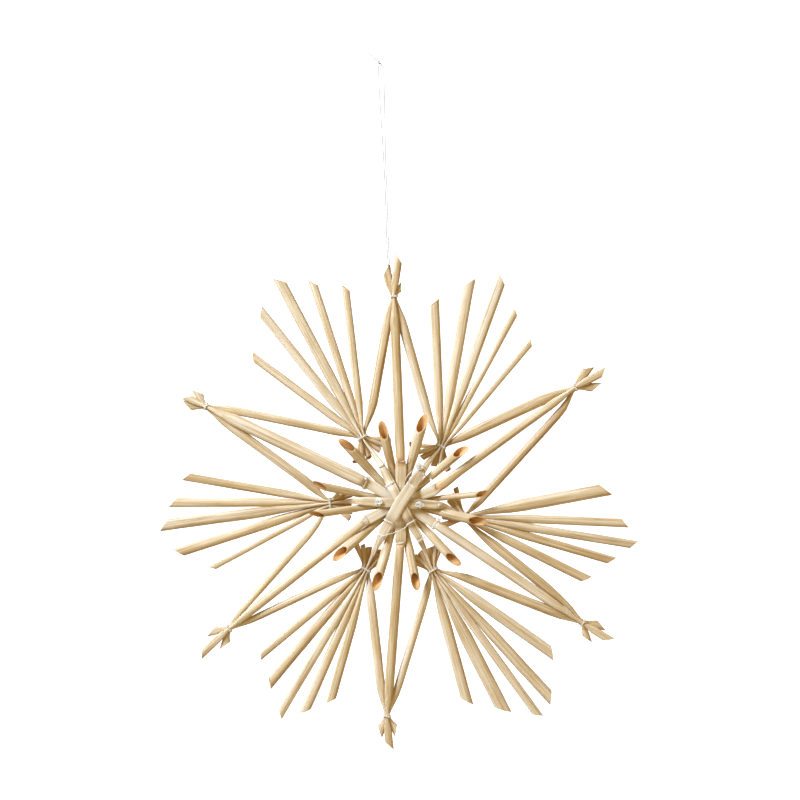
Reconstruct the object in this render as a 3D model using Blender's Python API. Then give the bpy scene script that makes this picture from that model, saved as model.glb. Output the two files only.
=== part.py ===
# A star tied from hollow cereal straws with cotton thread, hung by a loop.
#
# Frame: X to the right, Z up, and -Y towards the viewer. The origin is the knot at the top of the
# hanging loop. A bearing is in degrees, anticlockwise from +X as the viewer sees the star.

import math

import bmesh
import bpy
from mathutils import Vector

# Size of the star. The radii and lengths in the tables below are shares of it.
STAR_RADIUS = 0.1

# Drop of the hanging loop from its knot to the star, and where the middle of the star hangs below it
LOOP_DROP = 0.115
TOP_REACH = 1.053
STAR_RIGHT = 0.0105
STAR_DROP = LOOP_DROP + STAR_RADIUS * TOP_REACH

# Clearance between two pieces that touch
GAP = 0.0003

# Thread, the tie of two turns of it that lie side by side, and how square the tie is: 1 is round, 0 square
THREAD = 0.00045
TIE_WIDTH = 0.001
TIE_SQUARENESS = 0.4

# Straws: widths where they are round or nearly so, and their depth as a share of the width
TUBE_WIDTH = 0.0052
TUBE_WAIST = 0.0040
TUBE_WALL = 0.0004
TUBE_BORE_DEPTH = 0.015
ROUNDNESS = 0.75

# Straws pressed flat over the centre
FLAT_THICKNESS = 0.00055
RAY_FLAT_WIDTH = 0.0052
TUBE_FLAT_WIDTH = 0.0038

# Where the strips leave their stack at the centre and where they have settled, the same for the
# rays behind them, where all of them stop being flat, and where the thread binds them
STRIP_STRAIGHT = 0.006
STRIP_STACK = (0.0075, 0.0125)
RAY_STACK = (0.0060, 0.0105)
TUBE_STACK = (0.0040, 0.0120)
FLAT_RADIUS = 0.018
BIND_RADIUS = 0.020

# Depths of the rays and tubes outside the stack, and how fast the tubes come forward
RAY_DEPTH = -0.0006
TUBE_DEPTH = 0.0018
TUBE_LIFT = 0.004192
FAN_DEPTH = 0.0032

# Fan ties: seven straws pressed side by side
FAN_PRESSED = 0.00035
FAN_PRESSED_DEPTH = 0.0038
INNER_LENGTH = 0.0108
INNER_WIDTH = 0.0024
INNER_LEAN = 0.2
INNER_ROUNDNESS = 1.1
FAN_RIPPLE = 0.0008

# Point ties: three straws pressed side by side
POINT_PRESSED = 0.0005
POINT_PRESSED_DEPTH = 0.0028
LEAF_WIDTH = 0.0042

# A straw leaves a tie straight and bends away over this length, and it opens out again over this one
BEND = 0.0018
BOW_RUN = 0.014
OPENING = 0.008

# How far the slanted cuts lean along the straw, as a share of its width
TIP_CUT = 0.9
TIP_ASIDE = 0.3
LEAF_CUT = 1.1
TUBE_CUT = 1.2

SIDES = 6
TUBE_SIDES = 8
TIE_SIDES = 12
BINDING_SIDES = 24
CORD_STEP = 0.003

# Points of the star: name, bearing and radius of the tie, the bearing of the ray where it is bound
# at the centre and its width, and the bearing and length of its three leaves, anticlockwise. Radii and
# lengths are shares of the star's radius.
POINTS = {
    "top": (91.7, 1.035, 88.6, 0.0048, ((50.2, 0.078), (82.5, 0.2), (106.0, 0.147))),
    "left_high": (153.6, 1.085, 148.7, 0.0062, ((120.0, 0.1), (153.2, 0.115), (176.0, 0.11))),
    "left_low": (216.3, 1.06, 206.6, 0.0041, ((190.0, 0.105), (223.0, 0.195), (256.0, 0.105))),
    "bottom": (266.5, 1.067, 271.0, 0.0047, ((246.0, 0.1), (275.0, 0.159), (302.0, 0.103))),
    "right_low": (326.7, 1.092, 329.9, 0.0049, ((285.3, 0.1), (327.9, 0.167), (352.0, 0.11))),
    "right_high": (393.4, 1.048, 380.6, 0.0042, ((361.0, 0.125), (388.3, 0.175), (415.1, 0.13))),
}

# Fans: name, bearing and radius of the tie, the bearing of its strip where it is bound at the centre,
# the spread of its short inner ends on either side, the points on its clockwise and anticlockwise
# sides, and the bearing, length and width of its five free straws, anticlockwise. The third of them
# is the strip. Radii and lengths are shares of the star's radius, and widths are in metres.
FANS = {
    "upper_right": (
        54.0, 0.352, 56.0, (49.0, 66.0), "right_high", "top",
        ((49.9, 0.695, 0.0034), (61.7, 0.774, 0.0034), (71.2, 0.905, 0.0054),
         (79.1, 0.84, 0.0050), (91.7, 0.725, 0.0046)),
    ),
    "upper_left": (
        120.0, 0.38, 116.0, (54.0, 48.0), "top", "left_high",
        ((97.1, 0.757, 0.0038), (108.5, 0.817, 0.0041), (118.8, 0.897, 0.0053),
         (127.9, 0.818, 0.0046), (142.7, 0.682, 0.0042)),
    ),
    "left": (
        180.4, 0.352, 177.0, (42.0, 42.0), "left_high", "left_low",
        ((170.5, 0.74, 0.0041), (180.8, 0.798, 0.0045), (188.7, 0.85, 0.0055),
         (197.0, 0.805, 0.0050), (208.0, 0.677, 0.0032)),
    ),
    "lower_left": (
        243.0, 0.375, 241.0, (50.0, 33.0), "left_low", "bottom",
        ((220.2, 0.682, 0.0040), (230.9, 0.755, 0.0047), (240.1, 0.85, 0.0044),
         (245.7, 0.78, 0.0047), (254.0, 0.69, 0.0044)),
    ),
    "lower_right": (
        296.0, 0.375, 299.0, (40.0, 46.0), "bottom", "right_low",
        ((285.9, 0.688, 0.0054), (298.2, 0.798, 0.0066), (306.7, 0.907, 0.0042),
         (311.6, 0.882, 0.0056), (323.9, 0.734, 0.0055)),
    ),
    "right": (
        347.5, 0.331, 357.5, (45.0, 60.0), "right_low", "right_high",
        ((334.1, 0.69, 0.0046), (344.5, 0.778, 0.0043), (351.6, 0.873, 0.0043),
         (356.9, 0.815, 0.0044), (369.5, 0.73, 0.0064)),
    ),
}

# how steeply the tubes come forward: they have risen by their lift at the innermost fan tie, so that
# they pass in front of it
INNERMOST_TIE = min(fan[1] for fan in FANS.values())
TUBE_RISE = TUBE_LIFT / (INNERMOST_TIE * STAR_RADIUS - BIND_RADIUS)

# Side straws: fan and point, width, and how far the straw lies to the left of the line between its
# ties near the fan and near the point, as shares of the radius
SIDE_STRAWS = {
    ("upper_right", "right_high"): (0.0052, 0.001, 0.0075),
    ("upper_right", "top"): (0.0048, 0.019, 0.0),
    ("upper_left", "top"): (0.0045, -0.022, 0.005),
    ("upper_left", "left_high"): (0.0042, -0.0015, -0.005),
    ("left", "left_high"): (0.0046, -0.015, 0.0015),
    ("left", "left_low"): (0.0036, 0.025, -0.009),
    ("lower_left", "left_low"): (0.0037, -0.012, 0.005),
    ("lower_left", "bottom"): (0.0046, 0.003, -0.01),
    ("lower_right", "bottom"): (0.0040, 0.004, 0.007),
    ("lower_right", "right_low"): (0.0050, 0.019, 0.002),
    ("right", "right_low"): (0.0050, -0.007, 0.016),
    ("right", "right_high"): (0.0042, 0.004, -0.024),
}

# Strips from fan to fan, front to back, each with its flat width
STRIPS = (
    ("upper_right", "lower_left", 0.0062),
    ("upper_left", "lower_right", 0.0057),
    ("right", "left", 0.0050),
)

# Rays from point to point, front to back
RAYS = (("top", "bottom"), ("right_high", "left_low"), ("left_high", "right_low"))

# Short tubes, front to back: the bearing and radius of the tip at each end
TUBES = (
    (40.5, 0.437, 220.0, 0.42),
    (74.5, 0.46, 253.7, 0.435),
    (103.0, 0.42, 281.3, 0.435),
    (132.3, 0.43, 313.5, 0.415),
    (6.7, 0.445, 187.3, 0.46),
    (347.3, 0.45, 167.6, 0.45),
)

# Routes of the two strands of the hanging loop: where each leaves the knot, in thread widths, and
# then down to the tie of the top point, in shares of the loop's drop
LEFT_START = (-0.67, 0.0, -3.11)
RIGHT_START = (5.33, 0.0, -8.89)
LEFT_STRAND = (
    (0.0026, 0.0009, -0.1461), (0.0148, 0.0017, -0.3287), (0.0217, 0.0035, -0.4504),
    (0.0278, 0.0070, -0.5722), (0.0330, 0.0122, -0.7548), (0.0383, 0.0200, -0.8609),
    (0.0496, 0.0243, -0.9391), (0.0591, 0.0252, -1.0000),
)
RIGHT_STRAND = (
    (0.0235, 0.0009, -0.1461), (0.0270, 0.0017, -0.3287), (0.0296, 0.0035, -0.4504),
    (0.0348, 0.0070, -0.5722), (0.0400, 0.0122, -0.7548), (0.0452, 0.0200, -0.8609),
    (0.0565, 0.0243, -0.9391), (0.0661, 0.0252, -1.0000),
)
# The knot and its loose tail: places and radii, in thread widths
KNOT = (
    ((-12.67, 0.00, 10.89), 0.5),
    ((-6.89, 0.22, 5.78), 0.5),
    ((-2.00, 0.00, 1.78), 0.5),
    ((-0.67, 0.00, 0.67), 1.3),
    ((0.67, 0.00, -0.67), 1.5),
    ((2.22, 0.00, -2.22), 1.1),
    ((4.00, 0.00, -4.44), 1.3),
    ((5.33, 0.00, -6.44), 0.9),
)

FAN_PITCH = FAN_PRESSED + GAP
POINT_PITCH = POINT_PRESSED + GAP
LAYER = FLAT_THICKNESS + GAP
STRIP_DEPTH = RAY_DEPTH - LAYER


def straw_material(name, colour, roughness):
    """A plain material with the colour of one kind of straw or thread."""
    made = bpy.data.materials.new(name)
    made.use_nodes = True
    shader = made.node_tree.nodes["Principled BSDF"]
    shader.inputs["Base Color"].default_value = (*colour, 1)
    shader.inputs["Roughness"].default_value = roughness
    return made


def heading(bearing):
    """The direction of a bearing, in the plane of the star."""
    turn = math.radians(bearing)
    return Vector((math.cos(turn), 0, math.sin(turn)))


def place(bearing, radius, depth=0.0):
    """A point of the star by its bearing and distance from the middle, and its depth away from the viewer."""
    return Vector((STAR_RIGHT, depth, -STAR_DROP)) + heading(bearing) * radius


def smooth(share):
    """Goes from 0 to 1 with soft ends."""
    held = min(max(share, 0.0), 1.0)
    return held * held * (3 - 2 * held)


def blend(share, start, end):
    return start + (end - start) * share


def finish_mesh(name, bm, material):
    """Turns a closed bmesh into a named object with outward, softly shaded faces."""
    bmesh.ops.recalc_face_normals(bm, faces=bm.faces)
    mesh = bpy.data.meshes.new(name)
    bm.to_mesh(mesh)
    bm.free()
    mesh.materials.append(material)
    mesh.shade_smooth()
    mesh.set_sharp_from_angle(angle=math.radians(50))
    made = bpy.data.objects.new(name, mesh)
    bpy.context.scene.collection.objects.link(made)
    return made


def settled(radius, stack, centre_depth, depth):
    """The depth of a flat straw that leaves the stack at the centre for its place outside it."""
    leave, settle = stack
    return blend(min(max((radius - leave) / (settle - leave), 0), 1), centre_depth, depth)


def add_ring(bm, point, along, half_width, half_depth, cut=(0, 0), sides=SIDES):
    """A ring of corners round a straw. The cut leans it along the straw, for its side and for its back."""
    across = Vector((-along.z, 0, along.x)).normalized()
    corners = []
    for side in range(sides):
        turn = 2 * math.pi * side / sides
        aside = half_width * math.cos(turn)
        behind = half_depth * math.sin(turn)
        offset = across * aside + Vector((0, behind, 0)) + along * (cut[0] * aside + cut[1] * behind)
        corners.append(bm.verts.new(point + offset))
    return corners


def join_rings(bm, first, second):
    count = len(first)
    for side in range(count):
        beside = (side + 1) % count
        bm.faces.new((first[side], first[beside], second[beside], second[side]))


def straw_directions(points):
    """The direction of the straw at each of its points, from the points on either side."""
    last = len(points) - 1
    return [
        (points[min(index + 1, last)] - points[max(index - 1, 0)]).normalized()
        for index in range(len(points))
    ]


def straw(name, stations, material, start_cut=(0, 0), end_cut=(0, 0)):
    """A solid straw through stations of a point, a half width and a half depth, with a cut at each end."""
    bm = bmesh.new()
    directions = straw_directions([station[0] for station in stations])
    last = len(stations) - 1
    rings = []
    for index, (point, half_width, half_depth) in enumerate(stations):
        cut = {0: start_cut, last: end_cut}.get(index, (0, 0))
        rings.append(add_ring(bm, point, directions[index], half_width, half_depth, cut))
    for first, second in zip(rings, rings[1:]):
        join_rings(bm, first, second)
    bm.faces.new(rings[0])
    bm.faces.new(rings[-1])
    return finish_mesh(name, bm, material)


def spread(run, slope):
    """How far a straw has gone sideways at a run from its tie, when it ends up at a slope."""
    return slope * (run - BEND * (1 - math.exp(-run / BEND)))


def slope_to(side, run, start):
    """The slope that takes a straw from its place in the tie to a place at a run and a side."""
    return (side - start) / (run - BEND * (1 - math.exp(-run / BEND)))


def opened(run, pressed, full):
    """A size of a straw at a run from the tie that presses it."""
    return blend(1 - math.exp(-run / OPENING), pressed, full)


def room(laterals, slopes, index, run):
    """Half the width that a straw may have at this run, between its neighbours in the same tie."""
    nearest = min(
        abs(laterals[index] - laterals[other])
        for other in (index - 1, index + 1)
        if 0 <= other < len(laterals)
    )
    steepness = slopes[index] * (1 - math.exp(-run / BEND))
    return (nearest * math.cos(math.atan(steepness)) - GAP) / 2


class Bundle:
    """The straws of one tie, side by side across its axis, that spread as they leave it on one side."""

    def __init__(self, middle, axis, pitch, pressed_depth, slopes):
        self.middle = middle
        self.axis = heading(axis)
        self.across = heading(axis + 90)
        self.pitch = pitch
        self.pressed_depth = pressed_depth
        self.slopes = slopes

    def start(self, index):
        return (index - (len(self.slopes) - 1) / 2) * self.pitch

    def laterals(self, run):
        return [self.start(i) + spread(run, slope) for i, slope in enumerate(self.slopes)]

    def half_width(self, index, run, full):
        return min(full, room(self.laterals(run), self.slopes, index, run))

    def point(self, index, run, lean=0.0):
        side = self.laterals(run)[index]
        return self.middle + self.axis * run + self.across * side + Vector((0, lean * run, 0))

    def station(self, index, run, width, lean=0.0, roundness=ROUNDNESS):
        """A station of a straw at a run from the tie."""
        half_depth = opened(run, self.pressed_depth / 2, width * roundness / 2)
        return (self.point(index, run, lean), self.half_width(index, run, width / 2), half_depth)


def tip_slope(bundle_axis, start, bearing, length, beside=0.0):
    """The slope of a straw in a bundle whose point lies at a bearing and distance from the tie, beside it."""
    turn = math.radians(bearing - bundle_axis)
    return slope_to(length * math.sin(turn) - beside, length * math.cos(turn), start)


def tip_run(bundle_axis, bearing, length):
    return length * math.cos(math.radians(bearing - bundle_axis))


def bearing_of(vector):
    return math.degrees(math.atan2(vector.z, vector.x))


def nearest_turn(bearing, reference):
    """The same bearing, written within half a turn of a reference."""
    return reference + (bearing - reference + 180) % 360 - 180


class Point:
    """One point of the star: a ray and two side straws in a tie, with leaves beyond it."""

    def __init__(self, name):
        bearing, share, bound, self.width, leaves = POINTS[name]
        self.leaves = [(leaf[0], leaf[1] * STAR_RADIUS) for leaf in leaves]
        self.middle = place(bearing, share * STAR_RADIUS)
        self.bound = place(bound, BIND_RADIUS, RAY_DEPTH)
        self.axis = bearing_of(self.middle - self.bound)
        self.axis = nearest_turn(self.axis, bearing)
        slopes = [
            tip_slope(self.axis, (i - 1) * POINT_PITCH, leaf[0], leaf[1])
            for i, leaf in enumerate(self.leaves)
        ]
        self.outside = Bundle(self.middle, self.axis, POINT_PITCH, POINT_PRESSED_DEPTH, slopes)

    def knee(self, index):
        """Where the straight part of a side straw would meet the tie."""
        side = (index - 1) * POINT_PITCH
        return self.middle - heading(self.axis) * BEND + heading(self.axis + 90) * side

    def leaf(self, index):
        """Stations of the leaf that a straw ends in, from the tie outwards."""
        bearing, length = self.leaves[index]
        run = tip_run(self.axis, bearing, length)
        end = run - LEAF_CUT * LEAF_WIDTH / 4
        runs = [end * share for share in (0.25, 0.6, 1.0)]
        return [self.outside.station(index, r, LEAF_WIDTH, roundness=0.45) for r in runs]


def cut_side(index):
    """The side of a free straw that its slanted cut leaves longer: 1 is anticlockwise."""
    return 1 if index <= 3 else -1


class Fan:
    """One fan: five free straws and two side straws in a tie, with short ends inside it."""

    def __init__(self, name):
        bearing, share, bound, self.inner_spread, clockwise, anticlockwise, free = FANS[name]
        self.free = [(tip[0], tip[1] * STAR_RADIUS, tip[2]) for tip in free]
        self.middle = place(bearing, share * STAR_RADIUS, FAN_DEPTH)
        self.bound = place(bound, BIND_RADIUS, STRIP_DEPTH)
        self.sides = (clockwise, anticlockwise)
        tip_mean = sum(straw_data[0] for straw_data in self.free) / len(self.free)
        self.axis = (tip_mean + bearing) / 2
        straight = place(bound, FLAT_RADIUS + STRIP_STRAIGHT)
        strip_bearing = nearest_turn(bearing_of(self.middle - straight), tip_mean)
        self.outside = Bundle(
            self.middle, self.axis, FAN_PITCH, FAN_PRESSED_DEPTH, self.outer_slopes()
        )
        # Seen from the tie towards the middle of the star, the same straws lie the other way round
        inward = math.tan(math.radians(strip_bearing - self.axis))
        inner_slopes = [
            math.tan(math.radians(self.inner_spread[i > 3] * (i - 3) / 3)) - inward for i in range(7)
        ]
        self.inside = Bundle(
            self.middle, self.axis, FAN_PITCH, FAN_PRESSED_DEPTH, inner_slopes
        )
        self.inside.axis = -self.inside.axis

    def start(self, index):
        return (index - 3) * FAN_PITCH

    def side_slope(self, index):
        """The slope of the side straw that runs to the point on its side of the fan."""
        point = star_point(self.sides[0 if index == 0 else 1])
        far = point.knee(2 if index == 0 else 0)
        near = self.middle + heading(self.axis) * BEND + heading(self.axis + 90) * self.start(index)
        line = far - near
        return line.dot(heading(self.axis + 90)) / line.dot(heading(self.axis))

    def outer_slopes(self):
        free = [
            tip_slope(self.axis, self.start(i), bearing, length, cut_side(i) * width * TIP_ASIDE)
            for i, (bearing, length, width) in enumerate(self.free, 1)
        ]
        return [self.side_slope(0), *free, self.side_slope(6)]

    def inner_stations(self, index):
        """Stations of a short end, from its cut towards the tie, leaning back from the strip."""
        slope = self.inside.slopes[index]
        reach = INNER_LENGTH * math.cos(math.atan(slope)) ** 0.5
        runs = [reach * share for share in (1.0, 0.5, 0.15)]
        return [
            self.inside.station(index, run, INNER_WIDTH, INNER_LEAN, INNER_ROUNDNESS)
            for run in runs
        ]

    def tied(self, index):
        return self.outside.station(index, 0.0, FAN_PRESSED)

    def free_stations(self, index):
        """Stations of a free straw from just past the tie to its tip."""
        bearing, length, width = self.free[index - 1]
        end = tip_run(self.axis, bearing, length) - TIP_CUT * width / 4
        ripple = FAN_RIPPLE * (-1) ** index / end
        runs = [0.0015, 0.005, 0.012, 0.028, end - width, end]
        return [
            self.outside.station(index, run, width, ripple, blend(run / end, 0.7, 0.3))
            for run in runs
        ]


made_points = {}


def star_point(name):
    if name not in made_points:
        made_points[name] = Point(name)
    return made_points[name]


def make_free_straws(fan_name, fan, material):
    for index in (1, 2, 4, 5):
        stations = [*fan.inner_stations(index), fan.tied(index), *fan.free_stations(index)]
        name = f"fan_{fan_name}_straw_{index}"
        straw(name, stations, material, end_cut=(TIP_CUT * cut_side(index), 0))


def make_side_straw(fan_name, fan, index, material):
    """A straw from the inside of a fan, through its tie and along to the leaf of a point."""
    point_name = fan.sides[0 if index == 0 else 1]
    point = star_point(point_name)
    slot = 2 if index == 0 else 0
    near = fan.middle + heading(fan.axis) * BEND + heading(fan.axis + 90) * fan.start(index)
    far = point.knee(slot)
    line = far - near
    length = line.length
    width, near_shift, far_shift = SIDE_STRAWS[fan_name, point_name]
    left = Vector((-line.z, 0, line.x)) / length * STAR_RADIUS
    fan_slope = fan.outside.slopes[index]
    point_across = heading(point.axis + 90)
    point_slope = -line.dot(point_across) / line.dot(heading(point.axis))
    fan_step = line.dot(heading(fan.axis)) / length
    point_step = line.dot(heading(point.axis)) / length
    stations = [*fan.inner_stations(index), fan.tied(index)]
    fan_runs = [0.0015, 0.005, 0.012, 0.026]
    point_runs = [0.022, 0.010, 0.004, 0.0015]
    travels = [(run - BEND) / fan_step for run in fan_runs]
    travels += [length - (run - BEND) / point_step for run in point_runs]
    for travel in travels:
        fan_run = BEND + travel * fan_step
        point_run = BEND + (length - travel) * point_step
        point_at = near + line * (travel / length)
        point_at += heading(fan.axis + 90) * fan_slope * BEND * math.exp(-fan_run / BEND)
        point_at += point_across * point_slope * BEND * math.exp(-point_run / BEND)
        bow = smooth(fan_run / BOW_RUN) * smooth(point_run / BOW_RUN)
        point_at += left * blend(travel / length, near_shift, far_shift) * bow
        beside_ray = POINT_PITCH + spread(point_run, abs(point_slope))
        half_width = min(
            fan.outside.half_width(index, fan_run, width / 2),
            (beside_ray * math.cos(math.atan(point_slope)) - GAP) / 2,
        )
        half_depth = max(
            opened(fan_run, FAN_PRESSED_DEPTH / 2, width * ROUNDNESS / 2),
            opened(point_run, POINT_PRESSED_DEPTH / 2, width * ROUNDNESS / 2),
        )
        stations.append((point_at, half_width, half_depth))
    stations.append(point.outside.station(slot, 0.0, POINT_PRESSED))
    stations += point.leaf(slot)
    lean = LEAF_CUT if slot == 0 else -LEAF_CUT
    straw(f"side_straw_{fan_name}_to_{point_name}", stations, material, end_cut=(lean, 0))


def flat_half(bound, own_depth, stack, centre_depth, width):
    """Stations of the flat half of a strip or ray, from beside the middle of the star outwards."""
    stations = []
    for radius in (*stack, FLAT_RADIUS):
        depth = settled(radius, stack, centre_depth, own_depth)
        toward = (bound - place(0, 0, own_depth)) * (radius / BIND_RADIUS)
        point = place(0, 0, depth) + Vector((toward.x, 0, toward.z))
        stations.append((point, width / 2, FLAT_THICKNESS / 2))
    return stations


def strip_half(fan, centre_depth, width):
    """Stations of half a strip, from beside the middle of the star to just inside the fan tie."""
    stations = flat_half(fan.bound, STRIP_DEPTH, STRIP_STACK, centre_depth, width)
    flat_end = stations[-1][0]
    straight = flat_end + (flat_end - stations[0][0]).normalized() * STRIP_STRAIGHT
    knee = fan.middle - heading(fan.axis) * BEND
    for share in (0.14, 0.3, 0.48, 0.7, 0.9):
        left = 1 - share
        half_width = blend(left * left, FAN_PRESSED / 2, width / 2)
        half_depth = blend(share ** 1.3, FLAT_THICKNESS / 2, FAN_PRESSED_DEPTH / 2)
        at = flat_end.lerp(straight, share).lerp(straight.lerp(knee, share), share)
        at.y = blend(smooth(share * 1.25), STRIP_DEPTH, FAN_DEPTH)
        stations.append((at, half_width, half_depth))
    return stations


def make_strip(layer, start_name, end_name, width, fans, material):
    """A straw that is flat over the centre and the middle straw of the fans at its two ends."""
    centre_depth = RAY_DEPTH - LAYER * (len(RAYS) - 1 + len(STRIPS) - layer)
    ends = []
    for name in (start_name, end_name):
        fan = fans[name]
        inner = strip_half(fan, centre_depth, width)
        ends.append([*inner, fan.tied(3), *fan.free_stations(3)])
    middle = (place(0, 0, centre_depth), width / 2, FLAT_THICKNESS / 2)
    stations = [*reversed(ends[0]), middle, *ends[1]]
    name = f"strip_{start_name}_to_{end_name}"
    straw(name, stations, material, start_cut=(TIP_CUT, 0), end_cut=(TIP_CUT, 0))


def ray_half(point, centre_depth):
    """Stations of half a ray, from beside the middle of the star to the leaf beyond its tie."""
    stations = flat_half(point.bound, RAY_DEPTH, RAY_STACK, centre_depth, RAY_FLAT_WIDTH)
    flat_end = stations[-1][0]
    line = point.middle - flat_end
    full_depth = point.width * ROUNDNESS / 2
    for run, narrow, round_share in (
        (0.002, 1.14, 0.10), (0.004, 1.02, 0.32), (0.007, 0.94, 0.66), (0.012, 1.0, 1.0),
    ):
        half_depth = blend(round_share, FLAT_THICKNESS / 2, full_depth)
        at = flat_end + line.normalized() * run
        stations.append((at, point.width * narrow / 2, half_depth))
    side_slopes = ray_side_slopes(point)
    for run in (0.030, 0.016, 0.008, 0.004, 0.0015):
        spacing = min(POINT_PITCH + spread(run, slope) for slope in side_slopes)
        half_width = min(point.width / 2, (spacing - GAP) / 2)
        half_depth = opened(run, POINT_PRESSED_DEPTH / 2, full_depth)
        stations.append((point.middle - line.normalized() * run, half_width, half_depth))
    stations.append(point.outside.station(1, 0.0, POINT_PRESSED))
    return [*stations, *point.leaf(1)]


def ray_side_slopes(point):
    """How steeply the two side straws leave a ray, as they come in from their fans."""
    slopes = []
    for fan in star_fans.values():
        for index in (0, 6):
            if star_point(fan.sides[0 if index == 0 else 1]) is point:
                near = fan.middle + heading(fan.axis) * BEND
                near += heading(fan.axis + 90) * fan.start(index)
                line = point.knee(2 if index == 0 else 0) - near
                across = line.dot(heading(point.axis + 90))
                slopes.append(abs(across / line.dot(heading(point.axis))))
    return slopes


star_fans = {}


def make_ray(layer, start_name, end_name, material):
    centre_depth = RAY_DEPTH - LAYER * (len(RAYS) - 1 - layer)
    middle = (place(0, 0, centre_depth), RAY_FLAT_WIDTH / 2, FLAT_THICKNESS / 2)
    first = ray_half(star_point(start_name), centre_depth)
    second = ray_half(star_point(end_name), centre_depth)
    stations = [*reversed(first), middle, *second]
    name = f"ray_{start_name}_to_{end_name}"
    straw(name, stations, material, start_cut=(LEAF_CUT, 0), end_cut=(LEAF_CUT, 0))


def tube_shape(radius):
    """Half width, half depth and depth of a short tube at a distance from the middle of the star."""
    opening = smooth((radius - TUBE_STACK[0]) / (BIND_RADIUS - TUBE_STACK[0]))
    rounding = smooth((radius - BIND_RADIUS) / BIND_RADIUS * 1.8)
    half_width = blend(opening, TUBE_FLAT_WIDTH / 2, TUBE_WAIST / 2)
    half_width = blend(rounding, half_width, TUBE_WIDTH / 2)
    half_depth = blend(opening, FLAT_THICKNESS / 2, TUBE_WAIST * 0.4)
    half_depth = blend(rounding, half_depth, TUBE_WIDTH / 2)
    rise = max(radius - BIND_RADIUS, 0.0) * TUBE_RISE
    return half_width, half_depth, TUBE_DEPTH - rise


def tube_half(bearing, tip, centre_depth):
    """Stations of half a tube, from beside the middle of the star to its open end."""
    stations = []
    end = tip - TUBE_CUT * TUBE_WIDTH / 2
    runs = [*TUBE_STACK, 0.016, BIND_RADIUS, 0.023, 0.028, end - TUBE_WIDTH * 0.7, end]
    for radius in runs:
        half_width, half_depth, depth = tube_shape(radius)
        depth = settled(radius, TUBE_STACK, centre_depth, depth)
        stations.append((place(bearing, radius, depth), half_width, half_depth))
    return stations


def hollow_end(bm, rings_data, cut):
    """Closes the open end of a tube with a rim, a bore and the flat bottom of the bore."""
    outer_ring, point, along, half_width, half_depth = rings_data
    wall_share = 1 - 2 * TUBE_WALL / TUBE_WIDTH
    inner = add_ring(
        bm, point, along, half_width * wall_share, half_depth * wall_share, cut, TUBE_SIDES
    )
    join_rings(bm, outer_ring, inner)
    bottom_point = point - along * TUBE_BORE_DEPTH
    narrow = 0.62
    bottom = add_ring(
        bm, bottom_point, along, half_width * narrow, half_depth * narrow, sides=TUBE_SIDES
    )
    join_rings(bm, inner, bottom)
    bm.faces.new(bottom)


def make_tube(name, first, second, centre_depth, material):
    """One short tube with an open, slanted end on each side."""
    bm = bmesh.new()
    middle = (place(0, 0, centre_depth), TUBE_FLAT_WIDTH / 2, FLAT_THICKNESS / 2)
    stations = [*reversed(first), middle, *second]
    directions = straw_directions([station[0] for station in stations])
    last = len(stations) - 1
    rings = []
    for index, (point, half_width, half_depth) in enumerate(stations):
        cut = {0: (0, -TUBE_CUT), last: (0, TUBE_CUT)}.get(index, (0, 0))
        ring = add_ring(bm, point, directions[index], half_width, half_depth, cut, TUBE_SIDES)
        rings.append(ring)
    for before, after in zip(rings, rings[1:]):
        join_rings(bm, before, after)
    start, end = stations[0], stations[-1]
    hollow_end(bm, (rings[0], start[0], -directions[0], start[1], start[2]), (0, TUBE_CUT))
    hollow_end(bm, (rings[-1], end[0], directions[-1], end[1], end[2]), (0, TUBE_CUT))
    return finish_mesh(name, bm, material)


def make_short_tubes(material):
    """The six short tubes, which are pressed into each other where they cross and are one solid there."""
    tubes = []
    for layer, (bearing, tip, far_bearing, far_tip) in enumerate(TUBES):
        centre_depth = RAY_DEPTH + LAYER + layer * FLAT_THICKNESS * 0.8
        first = tube_half(far_bearing, far_tip * STAR_RADIUS, centre_depth)
        second = tube_half(bearing, tip * STAR_RADIUS, centre_depth)
        tubes.append(make_tube(f"tube_{layer}", first, second, centre_depth, material))
    whole = tubes[0]
    whole.name = "short_tubes"
    for cutter in tubes[1:]:
        cutter.hide_render = True
        cutter.display_type = "WIRE"
        union = whole.modifiers.new("union", "BOOLEAN")
        union.operation = "UNION"
        union.object = cutter
    return whole


def tie_ring(name, middle, axis, half_width, half_depth, material):
    """The turns of thread round a bundle, as one flat band that follows the bundle's squarish outline."""
    bm = bmesh.new()
    along = heading(axis)
    across = heading(axis + 90)
    rings = []
    for step in range(TIE_SIDES):
        turn = 2 * math.pi * (step + 0.5) / TIE_SIDES
        side = math.copysign(abs(math.cos(turn)) ** TIE_SQUARENESS, math.cos(turn))
        back = math.copysign(abs(math.sin(turn)) ** TIE_SQUARENESS, math.sin(turn))
        corners = []
        for thickness, shift in ((0, -1), (THREAD, -0.7), (THREAD, 0.7), (0, 1)):
            point = middle + across * side * (half_width + thickness)
            point += Vector((0, back * (half_depth + thickness), 0))
            corners.append(bm.verts.new(point + along * shift * TIE_WIDTH / 2))
        rings.append(corners)
    for step, ring in enumerate(rings):
        join_rings(bm, ring, rings[(step + 1) % TIE_SIDES])
    return finish_mesh(name, bm, material)


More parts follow.
